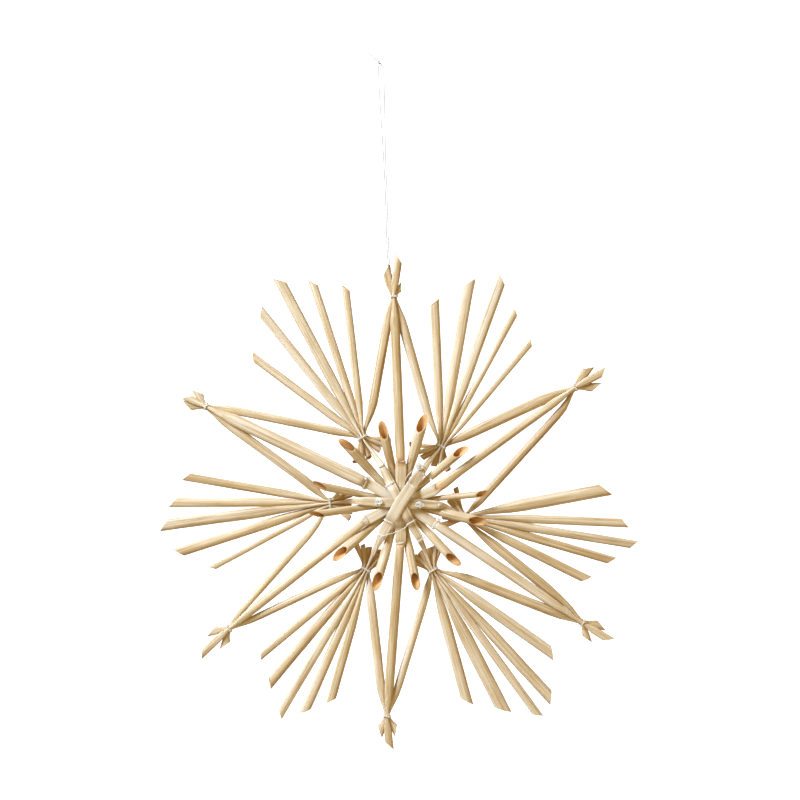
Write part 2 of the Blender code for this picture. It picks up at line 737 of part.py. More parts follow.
def make_binding(material):
    """The thread that lies over the strips and rays where they are bound at the centre."""
    bm = bmesh.new()
    depth = STRIP_DEPTH - FLAT_THICKNESS / 2 - GAP - THREAD / 2
    rings = []
    for step in range(BINDING_SIDES):
        bearing = 360 * step / BINDING_SIDES
        corners = []
        for side in range(6):
            turn = 2 * math.pi * side / 6
            radius = FLAT_RADIUS - THREAD + THREAD / 2 * math.cos(turn)
            corners.append(bm.verts.new(place(bearing, radius, depth + THREAD / 2 * math.sin(turn))))
        rings.append(corners)
    for step, ring in enumerate(rings):
        join_rings(bm, ring, rings[(step + 1) % BINDING_SIDES])
    return finish_mesh("centre_binding", bm, material)


def curve_through(points, spacing):
    """Points at an even spacing along a smooth curve through some points."""
    padded = [points[0] * 2 - points[1], *points, points[-1] * 2 - points[-2]]
    found = []
    for before, start, end, after in zip(padded, padded[1:], padded[2:], padded[3:]):
        steps = max(1, round((end - start).length / spacing))
        for step in range(steps):
            t = step / steps
            found.append(
                (start * 2 + (end - before) * t
                 + (before * 2 - start * 5 + end * 4 - after) * t ** 2
                 + (start * 3 - before - end * 3 + after) * t ** 3) / 2
            )
    return [*found, points[-1]]


def make_strand(name, start, route, material):
    """One strand of the hanging loop, as a thin tube along its route."""
    route_points = [Vector(start) * THREAD, *[Vector(point) * LOOP_DROP for point in route]]
    curve = bpy.data.curves.new(name, "CURVE")
    curve.dimensions = "3D"
    curve.bevel_depth = THREAD / 2
    curve.bevel_resolution = 2
    curve.use_fill_caps = True
    points = curve_through(route_points, CORD_STEP)
    spline = curve.splines.new("POLY")
    spline.points.add(len(points) - 1)
    for spline_point, point in zip(spline.points, points):
        spline_point.co = (*point, 1)
    curve.materials.append(material)
    made = bpy.data.objects.new(name, curve)
    bpy.context.scene.collection.objects.link(made)
    return made


def make_knot(material):
    stations = [(Vector(point) * THREAD, radius * THREAD, radius * THREAD) for point, radius in KNOT]
    return straw("hanging_knot", stations, material)


def clear_scene():
    for thing in list(bpy.data.objects):
        bpy.data.objects.remove(thing, do_unlink=True)


def make_star():
    clear_scene()
    pale = straw_material("pale_straw", (0.72, 0.56, 0.33), 0.5)
    tan = straw_material("tan_straw", (0.66, 0.48, 0.25), 0.5)
    cotton = straw_material("cotton_thread", (0.82, 0.78, 0.71), 0.85)
    for name in FANS:
        star_fans[name] = Fan(name)
    for name, fan in star_fans.items():
        make_free_straws(name, fan, tan)
        for index in (0, 6):
            make_side_straw(name, fan, index, tan)
        half_width = 3 * FAN_PITCH + FAN_PRESSED / 2 + GAP * 1.4
        half_depth = FAN_PRESSED_DEPTH / 2 + GAP * 1.5
        tie_ring(f"tie_fan_{name}", fan.middle, fan.axis, half_width, half_depth, cotton)
    for name in POINTS:
        point = star_point(name)
        half_width = POINT_PITCH + POINT_PRESSED / 2 + GAP * 1.4
        half_depth = POINT_PRESSED_DEPTH / 2 + GAP * 1.5
        tie_ring(f"tie_point_{name}", point.middle, point.axis, half_width, half_depth, cotton)
    for layer, (start, end, width) in enumerate(STRIPS):
        make_strip(layer, start, end, width, star_fans, pale)
    for layer, (start, end) in enumerate(RAYS):
        make_ray(layer, start, end, tan)
    make_short_tubes(tan)
    make_binding(cotton)
    make_strand("hanging_strand_left", LEFT_START, LEFT_STRAND, cotton)
    make_strand("hanging_strand_right", RIGHT_START, RIGHT_STRAND, cotton)
    make_knot(cotton)


make_star()
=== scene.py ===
# %% [markdown]
# # A straw star on a thread
#
# The real object is a flat star, about a hand and a half across, tied by hand from dried cereal
# straws and white cotton thread. Every straw is a hollow stem: pressed flat where many of them cross,
# pinched where a thread holds them, and round and open where they end. This script dresses the
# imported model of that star, piece by piece, with the shapes and finishes of the real one.
#
# Each step says first what the piece is, then how it could be made and why one way was chosen.

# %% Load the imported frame
import math
import random

import bmesh
import bpy
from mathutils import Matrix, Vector


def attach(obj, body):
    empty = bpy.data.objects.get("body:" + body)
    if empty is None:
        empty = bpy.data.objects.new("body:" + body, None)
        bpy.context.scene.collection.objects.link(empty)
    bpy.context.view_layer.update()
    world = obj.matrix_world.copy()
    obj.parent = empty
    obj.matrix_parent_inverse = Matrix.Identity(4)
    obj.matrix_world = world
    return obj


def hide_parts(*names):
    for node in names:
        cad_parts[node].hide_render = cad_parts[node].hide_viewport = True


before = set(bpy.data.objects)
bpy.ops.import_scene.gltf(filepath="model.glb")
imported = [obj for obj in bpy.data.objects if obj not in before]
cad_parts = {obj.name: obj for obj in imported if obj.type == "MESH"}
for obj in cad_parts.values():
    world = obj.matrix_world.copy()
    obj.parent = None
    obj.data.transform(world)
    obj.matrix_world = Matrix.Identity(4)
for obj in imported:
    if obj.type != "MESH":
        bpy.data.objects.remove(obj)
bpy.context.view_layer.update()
print("nodes in the frame:", len(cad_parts))

# %% [markdown]
# ## Where the star hangs
#
# The origin is the knot of the hanging loop, X runs to the right, Z up and -Y comes towards the
# viewer. All places on a star are easiest to give as a bearing and a distance from its middle, so
# two small helpers turn those into points.

# %% Places on the star
STAR_RIGHT = 0.0105
STAR_DROP = 0.2203


def heading(bearing):
    """The direction of a bearing in degrees, anticlockwise from the right as the viewer sees it."""
    turn = math.radians(bearing)
    return Vector((math.cos(turn), 0, math.sin(turn)))


def place(bearing, radius, depth=0.0):
    """A point by its bearing and distance from the middle of the star, and its depth behind it."""
    return Vector((STAR_RIGHT, depth, -STAR_DROP)) + heading(bearing) * radius


def blend(share, start, end):
    return start + (end - start) * share


def smooth(share):
    """Goes from 0 to 1 with soft ends."""
    held = min(max(share, 0.0), 1.0)
    return held * held * (3 - 2 * held)


print("middle of the star:", place(0, 0))

# %% [markdown]
# ## Camera, light and a pale room
#
# The photograph looks straight at the star from some distance, so the camera does too. A long lens
# keeps the straws near the edge from leaning outwards. Soft light from large lamps suits straw,
# because its sheen shows as long bright streaks along each stem.

# %% Camera
VIEW_WIDTH = 0.400
VIEW_HEIGHT = -0.1688
LENS = 100
SENSOR = 36

camera_data = bpy.data.cameras.new("camera")
camera_data.lens = LENS
camera_data.sensor_width = SENSOR
camera = bpy.data.objects.new("camera", camera_data)
camera.location = (STAR_RIGHT, -VIEW_WIDTH * LENS / SENSOR, VIEW_HEIGHT)
camera.rotation_euler = (math.radians(90), 0, 0)
bpy.context.scene.collection.objects.link(camera)
bpy.context.scene.camera = camera
print("camera at:", tuple(round(x, 3) for x in camera.location))

# %% Lights, floor and backdrop


def area_light(name, position, size, power, colour):
    """A lamp that looks at the middle of the star."""
    light = bpy.data.lights.new(name, "AREA")
    light.shape = "RECTANGLE"
    light.size, light.size_y = size
    light.energy = power
    light.color = colour
    lamp = bpy.data.objects.new(name, light)
    lamp.location = position
    aim = place(0, 0) - Vector(position)
    lamp.rotation_euler = aim.to_track_quat("-Z", "Y").to_euler()
    bpy.context.scene.collection.objects.link(lamp)


area_light("key", (-0.78, -0.58, 0.56), (0.4, 0.5), 29.4, (0.79, 1.0, 1.54))
area_light("fill", (0.75, -1.0, -0.45), (0.6, 0.6), 2.6, (1.0, 0.74, 0.26))
bpy.context.scene.view_settings.view_transform = "Standard"

world = bpy.data.worlds.new("pale room")
world.use_nodes = True
background = world.node_tree.nodes["Background"]
background.inputs["Color"].default_value = (1, 0.82, 0.46, 1)
background.inputs["Strength"].default_value = 0.37
bpy.context.scene.world = world


room_paint = bpy.data.materials.new("room_paint")
room_paint.use_nodes = True
paint = room_paint.node_tree.nodes["Principled BSDF"]
for label, value in (
    ("Base Color", (0.92, 0.92, 0.92, 1)), ("Roughness", 0.9),
    ("Emission Color", (1, 1, 1, 1)), ("Emission Strength", 0.9),
):
    paint.inputs[label].default_value = value

SIDE = 3
BACK = 1.2
FLOOR = -0.75
CEILING = 2.5
for name, front, height in (("floor", -SIDE, FLOOR), ("backdrop", BACK, CEILING)):
    mesh = bpy.data.meshes.new(name)
    corners = (
        (-SIDE, front, FLOOR), (SIDE, front, FLOOR), (SIDE, BACK, height), (-SIDE, BACK, height)
    )
    mesh.from_pydata(corners, [], [(0, 1, 2, 3)])
    mesh.materials.append(room_paint)
    sheet = bpy.data.objects.new(name, mesh)
    bpy.context.scene.collection.objects.link(sheet)
    sheet.visible_diffuse = False

# %% [markdown]
# ## Shader maths as plain expressions
#
# A procedural finish is arithmetic on noise. Drawn as nodes it is hard to read, so one small class
# wraps a socket and lets Python's own operators add the Math nodes.

# %% A socket that does maths


class Value:
    """A number that varies over a surface: a socket of a shader tree."""

    def __init__(self, shading, socket):
        self.shading = shading
        self.socket = socket

    def _maths(self, operation, first, second):
        return self.shading.node("ShaderNodeMath", {"operation": operation}, {0: first, 1: second})

    def __add__(self, other):
        return self._maths("ADD", self, other)

    def __sub__(self, other):
        return self._maths("SUBTRACT", self, other)

    def __mul__(self, other):
        return self._maths("MULTIPLY", self, other)

    def __pow__(self, other):
        return self._maths("POWER", self, other)


class Shading:
    """The node tree of one material, with a Principled shader at its end."""

    def __init__(self, name):
        self.material = bpy.data.materials.new(name)
        self.material.use_nodes = True
        self.tree = self.material.node_tree
        self.shader = self.tree.nodes["Principled BSDF"]

    def node(self, kind, settings, inputs, output=0):
        """Any node, from its type, its settings and the values or links of its sockets."""
        made = self.tree.nodes.new(kind)
        for key, value in settings.items():
            if key == "stops":
                stops = made.color_ramp.elements
                for index, (where, colour) in enumerate(value):
                    stop = stops[index] if index < 2 else stops.new(where)
                    stop.position = where
                    stop.color = (*colour, 1)
            else:
                setattr(made, key, value)
        for key, value in inputs.items():
            self.feed(made.inputs[key], value)
        return Value(self, made.outputs[output])

    def feed(self, socket, value):
        if isinstance(value, Value):
            self.tree.links.new(value.socket, socket)
        elif hasattr(socket.default_value, "__len__") and not hasattr(value, "__len__"):
            socket.default_value = [value] * len(socket.default_value)
        else:
            socket.default_value = value

    def attribute(self, name, output="Fac"):
        return self.node("ShaderNodeAttribute", {"attribute_name": name}, {}, output)

    def noise(self, where, scale, detail, roughness):
        """Noise at a place, with one scale or with one for each axis."""
        if hasattr(scale, "__len__"):
            where = self.node("ShaderNodeMapping", {}, {"Vector": where, "Scale": scale})
            scale = 1.0
        return self.node(
            "ShaderNodeTexNoise", {},
            {"Vector": where, "Scale": scale, "Detail": detail, "Roughness": roughness},
        )

    def clamped(self, value, low, high, to_low=0.0, to_high=1.0):
        """A value held between two levels and mapped onto two others."""
        return self.node(
            "ShaderNodeMapRange", {"clamp": True},
            {"Value": value, "From Min": low, "From Max": high, "To Min": to_low, "To Max": to_high},
        )

    def ramp(self, value, stops):
        return self.node("ShaderNodeValToRGB", {"stops": stops}, {"Fac": value})

    def mix(self, share, first, second):
        """A mix of two colours."""
        return self.node("ShaderNodeMix", {"data_type": "RGBA"}, {0: share, 6: first, 7: second}, 2)

    def finish(self, colour, roughness, height, relief, distance):
        """Feeds the shader: colour, roughness and a bump of some real height."""
        self.feed(self.shader.inputs["Base Color"], colour)
        self.feed(self.shader.inputs["Roughness"], roughness)
        bump = self.node(
            "ShaderNodeBump", {}, {"Strength": relief, "Distance": distance, "Height": height}
        )
        self.feed(self.shader.inputs["Normal"], bump)
        return self.material


print("shader helper ready")

# %% [markdown]
# ## Straw
#
# Dried straw is pale gold outside, with long fine fibres, a faint cross-hatch and a silky sheen, and
# browner inside, where the pith was. The fibres follow the stem however it lies, so the pattern
# can't hang on the room's axes: it reads a position in the straw's own space, along and round the
# stem, that the sweep below stores as an attribute.

# %% The straw finish
DARK_PITH = (0.46, 0.20, 0.05)
PALE_PITH = (0.85, 0.50, 0.18)
FIBRE_RELIEF = 0.00012


def straw_finish(name, mid, pale, dark):
    """A straw material from its middle, pale and dark colours.

    Noise varies slowly along the stem and fast round it. Its scales are changes in a metre.
    """
    shading = Shading(name)
    where = shading.attribute("straw_space", "Vector")
    inside = shading.attribute("inside")
    tone = shading.attribute("tone")
    fibres = shading.noise(where, (60, 3200, 3200), 3.0, 0.6)
    streaks = shading.noise(where, (20, 1300, 1300), 2.0, 0.5)
    patches = shading.noise(where, (55, 260, 260), 2.0, 0.5)
    hatch = shading.noise(where, (2600, 700, 700), 1.0, 0.5)
    bleached = shading.clamped(inside * -1.0, 0.0, 1.0)
    shade = fibres * 0.35 + streaks * 0.6 + patches * 0.3 + tone * 0.3 + hatch * 0.06 + bleached * 0.3
    outside = shading.ramp(shading.clamped(shade, 0.6, 1.02), ((0.0, dark), (1.0, pale), (0.5, mid)))
    pith = shading.ramp(
        shading.clamped(streaks + patches * 0.5, 0.4, 1.1), ((0.0, DARK_PITH), (1.0, PALE_PITH))
    )
    # inside mixes in the pith colour: fully on the inner wall, partly for brown nodes and as painted shade
    # on the back of the sheaves and some rays
    colour = shading.mix(inside, outside, pith)
    rough = shading.clamped(fibres, 0.25, 0.75, 0.40, 0.56) + inside * 0.3
    height = fibres * 0.6 + hatch * 0.35 + streaks * 0.4
    shading.shader.inputs["Specular IOR Level"].default_value = 0.3
    return shading.finish(colour, rough, height, 0.55, FIBRE_RELIEF)


round_straw = straw_finish("round_straw", (0.60, 0.422, 0.19), (0.77, 0.625, 0.40), (0.39, 0.22, 0.065))
flat_straw = straw_finish("flat_straw", (0.67, 0.50, 0.26), (0.82, 0.69, 0.46), (0.38, 0.225, 0.08))
print("straw finishes:", round_straw.name, flat_straw.name)

# %% [markdown]
# ## Cotton thread
#
# The ties and the loop are thin two-ply cotton. Two fine plies that wind round each other show as
# small slanted beads, so the geometry has both of them, and the finish adds only the fuzz. The loop's
# white thread is painted dark grey, as painted shade, or it would be lost against the white wall.

# %% The thread finish
LINT_RELIEF = 0.00005


def cotton_finish(name, dark, pale):
    """A thread material from its dark and pale colours."""
    shading = Shading(name)
    where = shading.node("ShaderNodeTexCoord", {}, {}, "Object")
    lint = shading.noise(where, 9000.0, 2.0, 0.6)
    colour = shading.ramp(shading.clamped(lint, 0.3, 0.7), ((0.0, dark), (1.0, pale)))
    return shading.finish(colour, 0.88, lint, 0.5, LINT_RELIEF)


cotton = cotton_finish("cotton_thread_finish", (0.66, 0.58, 0.43), (0.90, 0.84, 0.67))
# painted shade: the white cotton of the loop and its knot is given a dark grey colour
loop_cotton_painted_shade = cotton_finish("loop_thread_painted_shade", (0.13, 0.12, 0.09), (0.24, 0.22, 0.17))
print("thread finishes:", cotton.name, loop_cotton_painted_shade.name)

# %% [markdown]
# ## One sweep for every stem
#
# All the straws are the same thing: a thin-walled tube whose outline changes along its way, from
# round to pinched or flat, with a slanted cut at each end. They could be modelled one by one, but a
# rule is better: a line of stations goes in, each with the half width and half depth of the stem as
# two vectors, and Geometry Nodes wrap a ring round each station. The line runs back inside the stem
# at both ends, so the same sweep makes the cut rim and the inner wall. A little noise round and along
# each stem makes it uneven, as real stems are.

# %% A tree of geometry nodes


class Growing(Shading):
    """A Geometry Nodes tree with named inputs, built with the same expressions as a shader."""

    def __init__(self, name, inputs):
        self.tree = bpy.data.node_groups.new(name, "GeometryNodeTree")
        self.tree.interface.new_socket("Geometry", in_out="INPUT", socket_type="NodeSocketGeometry")
        self.tree.interface.new_socket("Geometry", in_out="OUTPUT", socket_type="NodeSocketGeometry")
        for label, kind, default in inputs:
            made = self.tree.interface.new_socket(label, in_out="INPUT", socket_type=f"NodeSocket{kind}")
            if default is not None:
                made.default_value = default
        self.entry = self.tree.nodes.new("NodeGroupInput")

    def given(self, label):
        return Value(self, self.entry.outputs[label])

    def stored(self, label, kind="FLOAT_VECTOR"):
        """An attribute that the line carries."""
        return self.node("GeometryNodeInputNamedAttribute", {"data_type": kind}, {"Name": label})

    def vector(self, operation, first, second):
        return self.node("ShaderNodeVectorMath", {"operation": operation}, {0: first, 1: second})

    def scaled(self, vector, factor):
        return self.node("ShaderNodeVectorMath", {"operation": "SCALE"}, {0: vector, "Scale": factor})

    def maths(self, operation, first, second=0.0):
        return self.node("ShaderNodeMath", {"operation": operation}, {0: first, 1: second})

    def combined(self, x, y, z):
        return self.node("ShaderNodeCombineXYZ", {}, {"X": x, "Y": y, "Z": z})

    def part(self, vector, axis):
        return self.node("ShaderNodeSeparateXYZ", {}, {"Vector": vector}, axis)

    def store(self, geometry, label, kind, value):
        """Keeps a value on each point of a geometry."""
        return self.node(
            "GeometryNodeStoreNamedAttribute", {"data_type": kind, "domain": "POINT"},
            {"Geometry": geometry, "Name": label, "Value": value},
        )

    def wrapped(self, curve, sides, radius):
        """A curve with a closed skin round it."""
        ring = self.node("GeometryNodeCurvePrimitiveCircle", {}, {"Resolution": sides, "Radius": radius})
        return self.node(
            "GeometryNodeCurveToMesh", {}, {"Curve": curve, "Profile Curve": ring, "Fill Caps": True}
        )

    def close(self, geometry, material):
        """The last nodes: smooth faces and the material."""
        shaded = self.node("GeometryNodeSetShadeSmooth", {}, {"Geometry": geometry})
        made = self.node("GeometryNodeSetMaterial", {}, {"Geometry": shaded, "Material": material})
        out = self.tree.nodes.new("NodeGroupOutput")
        self.tree.links.new(made.socket, out.inputs[0])
        return self.tree


SEED_STEP = 0.7317
UNEVEN_ROUND = 1.3
UNEVEN_ALONG = 90

sweep = Growing("stem_sweep", (
    ("Sides", "Int", 16), ("Corners", "Float", 1.0), ("Unevenness", "Float", 0.05),
    ("Tone", "Float", 0.5), ("Seed", "Int", 0), ("Material", "Material", None),
))
line = sweep.node("GeometryNodeMeshToCurve", {}, {"Mesh": sweep.given("Geometry")})
skin = sweep.wrapped(line, sweep.given("Sides"), 0.001)
corner = sweep.maths("MODULO", sweep.node("GeometryNodeInputIndex", {}, {}), sweep.given("Sides"))
turn = sweep.maths("DIVIDE", corner, sweep.given("Sides")) * (2 * math.pi)
cosine = sweep.maths("COSINE", turn)
sine = sweep.maths("SINE", turn)
aside, behind = (
    sweep.maths("SIGN", way) * sweep.maths("ABSOLUTE", way) ** sweep.given("Corners")
    for way in (cosine, sine)
)
run = sweep.stored("run", "FLOAT")
seed = sweep.given("Seed") * SEED_STEP
grain_at = sweep.combined(cosine * UNEVEN_ROUND + seed, sine * UNEVEN_ROUND, run * UNEVEN_ALONG)
grain = sweep.noise(grain_at, 1.0, 1.0, 0.5)
swell = (grain - 0.5) * (sweep.given("Unevenness") * 2) + 1.0
across = sweep.scaled(sweep.stored("across"), aside * swell)
through = sweep.scaled(sweep.stored("through"), behind * swell)
spot = sweep.vector("ADD", sweep.stored("spine"), sweep.vector("ADD", across, through))
placed = sweep.node("GeometryNodeSetPosition", {}, {"Geometry": skin, "Position": spot})
girth = sweep.stored("girth")
own_space = sweep.combined(
    run + seed, aside * sweep.part(girth, 0) + seed, behind * sweep.part(girth, 1) + seed
)
marked = sweep.store(placed, "straw_space", "FLOAT_VECTOR", own_space)
marked = sweep.store(marked, "tone", "FLOAT", sweep.given("Tone"))
stem_sweep = sweep.close(marked, sweep.given("Material"))
print("sweep tree nodes:", len(stem_sweep.nodes))

# %% [markdown]
# A tree needs a line to work on and comes back as a plain mesh. The same helper serves the straws
# and the thread: it stores the numbers on the line, sets the inputs by their identifiers, evaluates
# the modifier, keeps the result and removes everything else.

# %% Growing a mesh from a line


def grown(name, tree, points, carried, settings):
    """A plain object that a tree grows from a line of points with attributes."""
    mesh = bpy.data.meshes.new(name)
    mesh.from_pydata(points, [(i, i + 1) for i in range(len(points) - 1)], [])
    for label, values in carried.items():
        if isinstance(values[0], Vector):
            attribute = mesh.attributes.new(label, "FLOAT_VECTOR", "POINT")
            attribute.data.foreach_set("vector", [x for value in values for x in value])
        else:
            mesh.attributes.new(label, "FLOAT", "POINT").data.foreach_set("value", values)
    seedling = bpy.data.objects.new(name, mesh)
    bpy.context.scene.collection.objects.link(seedling)
    modifier = seedling.modifiers.new("grow", "NODES")
    modifier.node_group = tree
    for item in tree.interface.items_tree:
        if item.item_type == "SOCKET" and item.in_out == "INPUT" and item.name in settings:
            modifier[item.identifier] = settings[item.name]
    ready = bpy.context.evaluated_depsgraph_get()
    result = bpy.data.meshes.new_from_object(seedling.evaluated_get(ready))
    bpy.data.objects.remove(seedling, do_unlink=True)
    bm = bmesh.new()
    bm.from_mesh(result)
    bmesh.ops.recalc_face_normals(bm, faces=bm.faces)
    bm.to_mesh(result)
    bm.free()
    for label in carried:
        if label != "inside" and label in result.attributes:
            result.attributes.remove(result.attributes[label])
    result.set_sharp_from_angle(angle=math.radians(55))
    made = bpy.data.objects.new(name, result)
    bpy.context.scene.collection.objects.link(made)
    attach(made, "root")
    return made


# %% [markdown]
# ## Stems with cut ends
#
# A straw is cut with scissors, so its end is a slanted oval: the rings near the end lean more and
# more towards the cut. The wall of a stem is about a third of a millimetre, and its inside is built
# for a little over a centimetre, which is as far as one can look in. A station may also say how
# stained or bleached the straw is there, for the brown nodes and the pale pressed parts, and how much
# painted shade darkens it, for the back of the sheaves and for some rays just beyond their thread.

# %% A stem from its stations
WALL = 0.00032
LEAST_BORE = 0.35
BORE = 0.012
CUT_REACH = 2.6


def stem(name, node, stations, cuts, number, tone, uneven=0.05, corners=1.0, pale=False):
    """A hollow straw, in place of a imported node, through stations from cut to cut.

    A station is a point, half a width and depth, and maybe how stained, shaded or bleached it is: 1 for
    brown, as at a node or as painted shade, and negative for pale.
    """
    places = [station[0] for station in stations]
    last = len(places) - 1
    along = [
        (places[min(i + 1, last)] - places[max(i - 1, 0)]).normalized() for i in range(last + 1)
    ]
    runs = [0.0]
    for before, after in zip(places, places[1:]):
        runs.append(runs[-1] + (after - before).length)
    whole = runs[-1]
    rows = []

    def add(index, inner):
        half_width, half_depth = stations[index][1:3]
        lean = [0.0, 0.0]
        for cut, away, sign in zip(cuts, (runs[index], whole - runs[index]), (-1, 1)):
            reach = max(CUT_REACH * max(abs(cut[0]) * half_width, abs(cut[1]) * half_depth), 1e-6)
            share = max(0.0, 1 - away / reach)
            lean = [lean[0] + sign * cut[0] * share, lean[1] + sign * cut[1] * share]
        if inner:
            half_width = max(half_width - WALL, half_width * LEAST_BORE)
            half_depth = max(half_depth - WALL, half_depth * LEAST_BORE)
        sideways = Vector((-along[index].z, 0, along[index].x)).normalized()
        # the inside attribute: 1 on the inner wall for the pith colour, else a brown stain, painted shade,
        # or a negative value for pale
        stain_and_shade = stations[index][3] if len(stations[index]) > 3 else 0.0
        rows.append((
            places[index],
            sideways * half_width + along[index] * lean[0] * half_width,
            Vector((0, half_depth, 0)) + along[index] * lean[1] * half_depth,
            runs[index], 1.0 if inner else stain_and_shade, Vector((half_width, half_depth, 0)),
        ))

    for index in reversed([i for i in range(last + 1) if runs[i] < BORE]):
        add(index, True)
    for index in range(last + 1):
        add(index, False)
    for index in reversed([i for i in range(last + 1) if whole - runs[i] < BORE]):
        add(index, True)
    carried = dict(zip(("spine", "across", "through", "run", "inside", "girth"), zip(*rows)))
    straw = grown(name, stem_sweep, carried["spine"], carried, {
        "Corners": corners, "Unevenness": uneven, "Seed": number, "Tone": tone,
        "Material": flat_straw if pale else round_straw,
    })
    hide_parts(node)
    return straw


# %% [markdown]
# ## How straws leave a tie
#
# A tie squeezes its straws side by side. On either side of it they bend away, each towards its own
# tip, and open out to their full width as soon as their neighbours leave them room. That is a
# formula, not a drawing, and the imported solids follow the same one.

# %% Straws of one tie
GAP = 0.00012
OVERLAP = 1.1
OVERLAP_FADE = 0.005
PITCH_GAP = 0.0003
BEND = 0.0018
LEAF_START = -0.0003
LEAF_OPENING = 0.0078
OPENING = 0.022
PINCHED = 0.0009
ROUNDNESS = 0.85

# how far from a tie its layers have settled, and by how much: three straws in a point, seven in a fan
SETTLING = {3: (0.05, 0.6), 7: (0.01, 0.8)}


def spread(run, slope):
    """How far aside a straw has gone: it bends at the tie and soon keeps its slope."""
    return slope * (run - BEND * (1 - math.exp(-run / BEND)))


def tip_slope(axis, start, bearing, length, beside=0.0):
    """The slope that takes a straw from its place in the tie to beside a point at a bearing."""
    turn = math.radians(bearing - axis)
    run = length * math.cos(turn)
    return (length * math.sin(turn) - beside - start) / (run - BEND * (1 - math.exp(-run / BEND)))


class Bundle:
    """The straws on one side of a tie, in their order across it, with the slope of each."""

    def __init__(self, middle, axis, pitch, pressed_depth, slopes, inward=False):
        self.middle = middle
        self.axis = heading(axis) * (-1 if inward else 1)
        self.across = heading(axis + 90)
        self.pitch = pitch
        self.pressed_depth = pressed_depth
        self.slopes = slopes

    def laterals(self, run):
        half = (len(self.slopes) - 1) / 2
        return [(i - half) * self.pitch + spread(run, slope) for i, slope in enumerate(self.slopes)]

    def room(self, index, run):
        """Half the width that a straw may have here: it laps over its neighbours near the tie."""
        at = self.laterals(run)
        reach = 1 if len(at) > 3 else 2
        beside = [abs(at[index] - at[i]) for i in (index - reach, index + reach) if 0 <= i < len(at)]
        if not beside:
            beside = [2 * abs(at[index] - at[index - 1])]
        steepness = self.slopes[index] * (1 - math.exp(-run / BEND))
        overlap = OVERLAP + math.exp(-run / OVERLAP_FADE)
        return (min(beside) * math.cos(math.atan(steepness)) * overlap - GAP) / 2

    def layer(self, index, run):
        """How far forward or back a straw lies: every second one is in the front layer."""
        far, share = SETTLING[len(self.slopes)]
        settled = min(run / far, 1) * share
        return self.pressed_depth / 4 * (-1 if index % 2 else 1) * (1 - settled)

    def station(self, index, run, width, lean=0.0, roundness=ROUNDNESS):
        side = self.laterals(run)[index]
        back = lean * run + self.layer(index, run)
        point = self.middle + self.axis * run + self.across * side + Vector((0, back, 0))
        half_depth = blend(smooth(run / OPENING), self.pressed_depth / 4, width * roundness / 2)
        half_width = min(width / 2, self.room(index, run))
        if len(self.slopes) == 3:
            opened = smooth((run - LEAF_START) / LEAF_OPENING)
            half_width = min(half_width, blend(opened, PINCHED, width / 2))
        return (point, half_width, half_depth)


print("straws are round again", OPENING * 1000, "mm beyond a tie")

# %% [markdown]
# ## The plan of the star
#
# A hand-made star is regular in its plan and uneven in everything else, so each point and fan keeps
# its own measured bearing and lengths. Radii and lengths are shares of the star's radius.

# %% Points, fans and tubes
STAR_RADIUS = 0.1
BIND_RADIUS = 0.020
FLAT_RADIUS = 0.018
STRIP_STRAIGHT = 0.006
FLAT_THICKNESS = 0.00055
RAY_DEPTH = -0.0006
STRIP_DEPTH = RAY_DEPTH - FLAT_THICKNESS - PITCH_GAP
FAN_DEPTH = 0.0032

# name: bearing and radius of the tie, bearing of the ray at the centre and its width, bearings and
# lengths of the leaves
POINTS = {
    "top": (91.7, 1.035, 88.6, 0.0048, ((50.2, 0.078), (82.5, 0.2), (106.0, 0.147))),
    "left_high": (153.6, 1.085, 148.7, 0.0062, ((120.0, 0.1), (153.2, 0.115), (176.0, 0.11))),
    "left_low": (216.3, 1.06, 206.6, 0.0041, ((190.0, 0.105), (223.0, 0.195), (256.0, 0.105))),
    "bottom": (266.5, 1.067, 271.0, 0.0047, ((246.0, 0.1), (275.0, 0.159), (302.0, 0.103))),
    "right_low": (326.7, 1.092, 329.9, 0.0049, ((285.3, 0.1), (327.9, 0.167), (352.0, 0.11))),
    "right_high": (393.4, 1.048, 380.6, 0.0042, ((361.0, 0.125), (388.3, 0.175), (415.1, 0.13))),
}

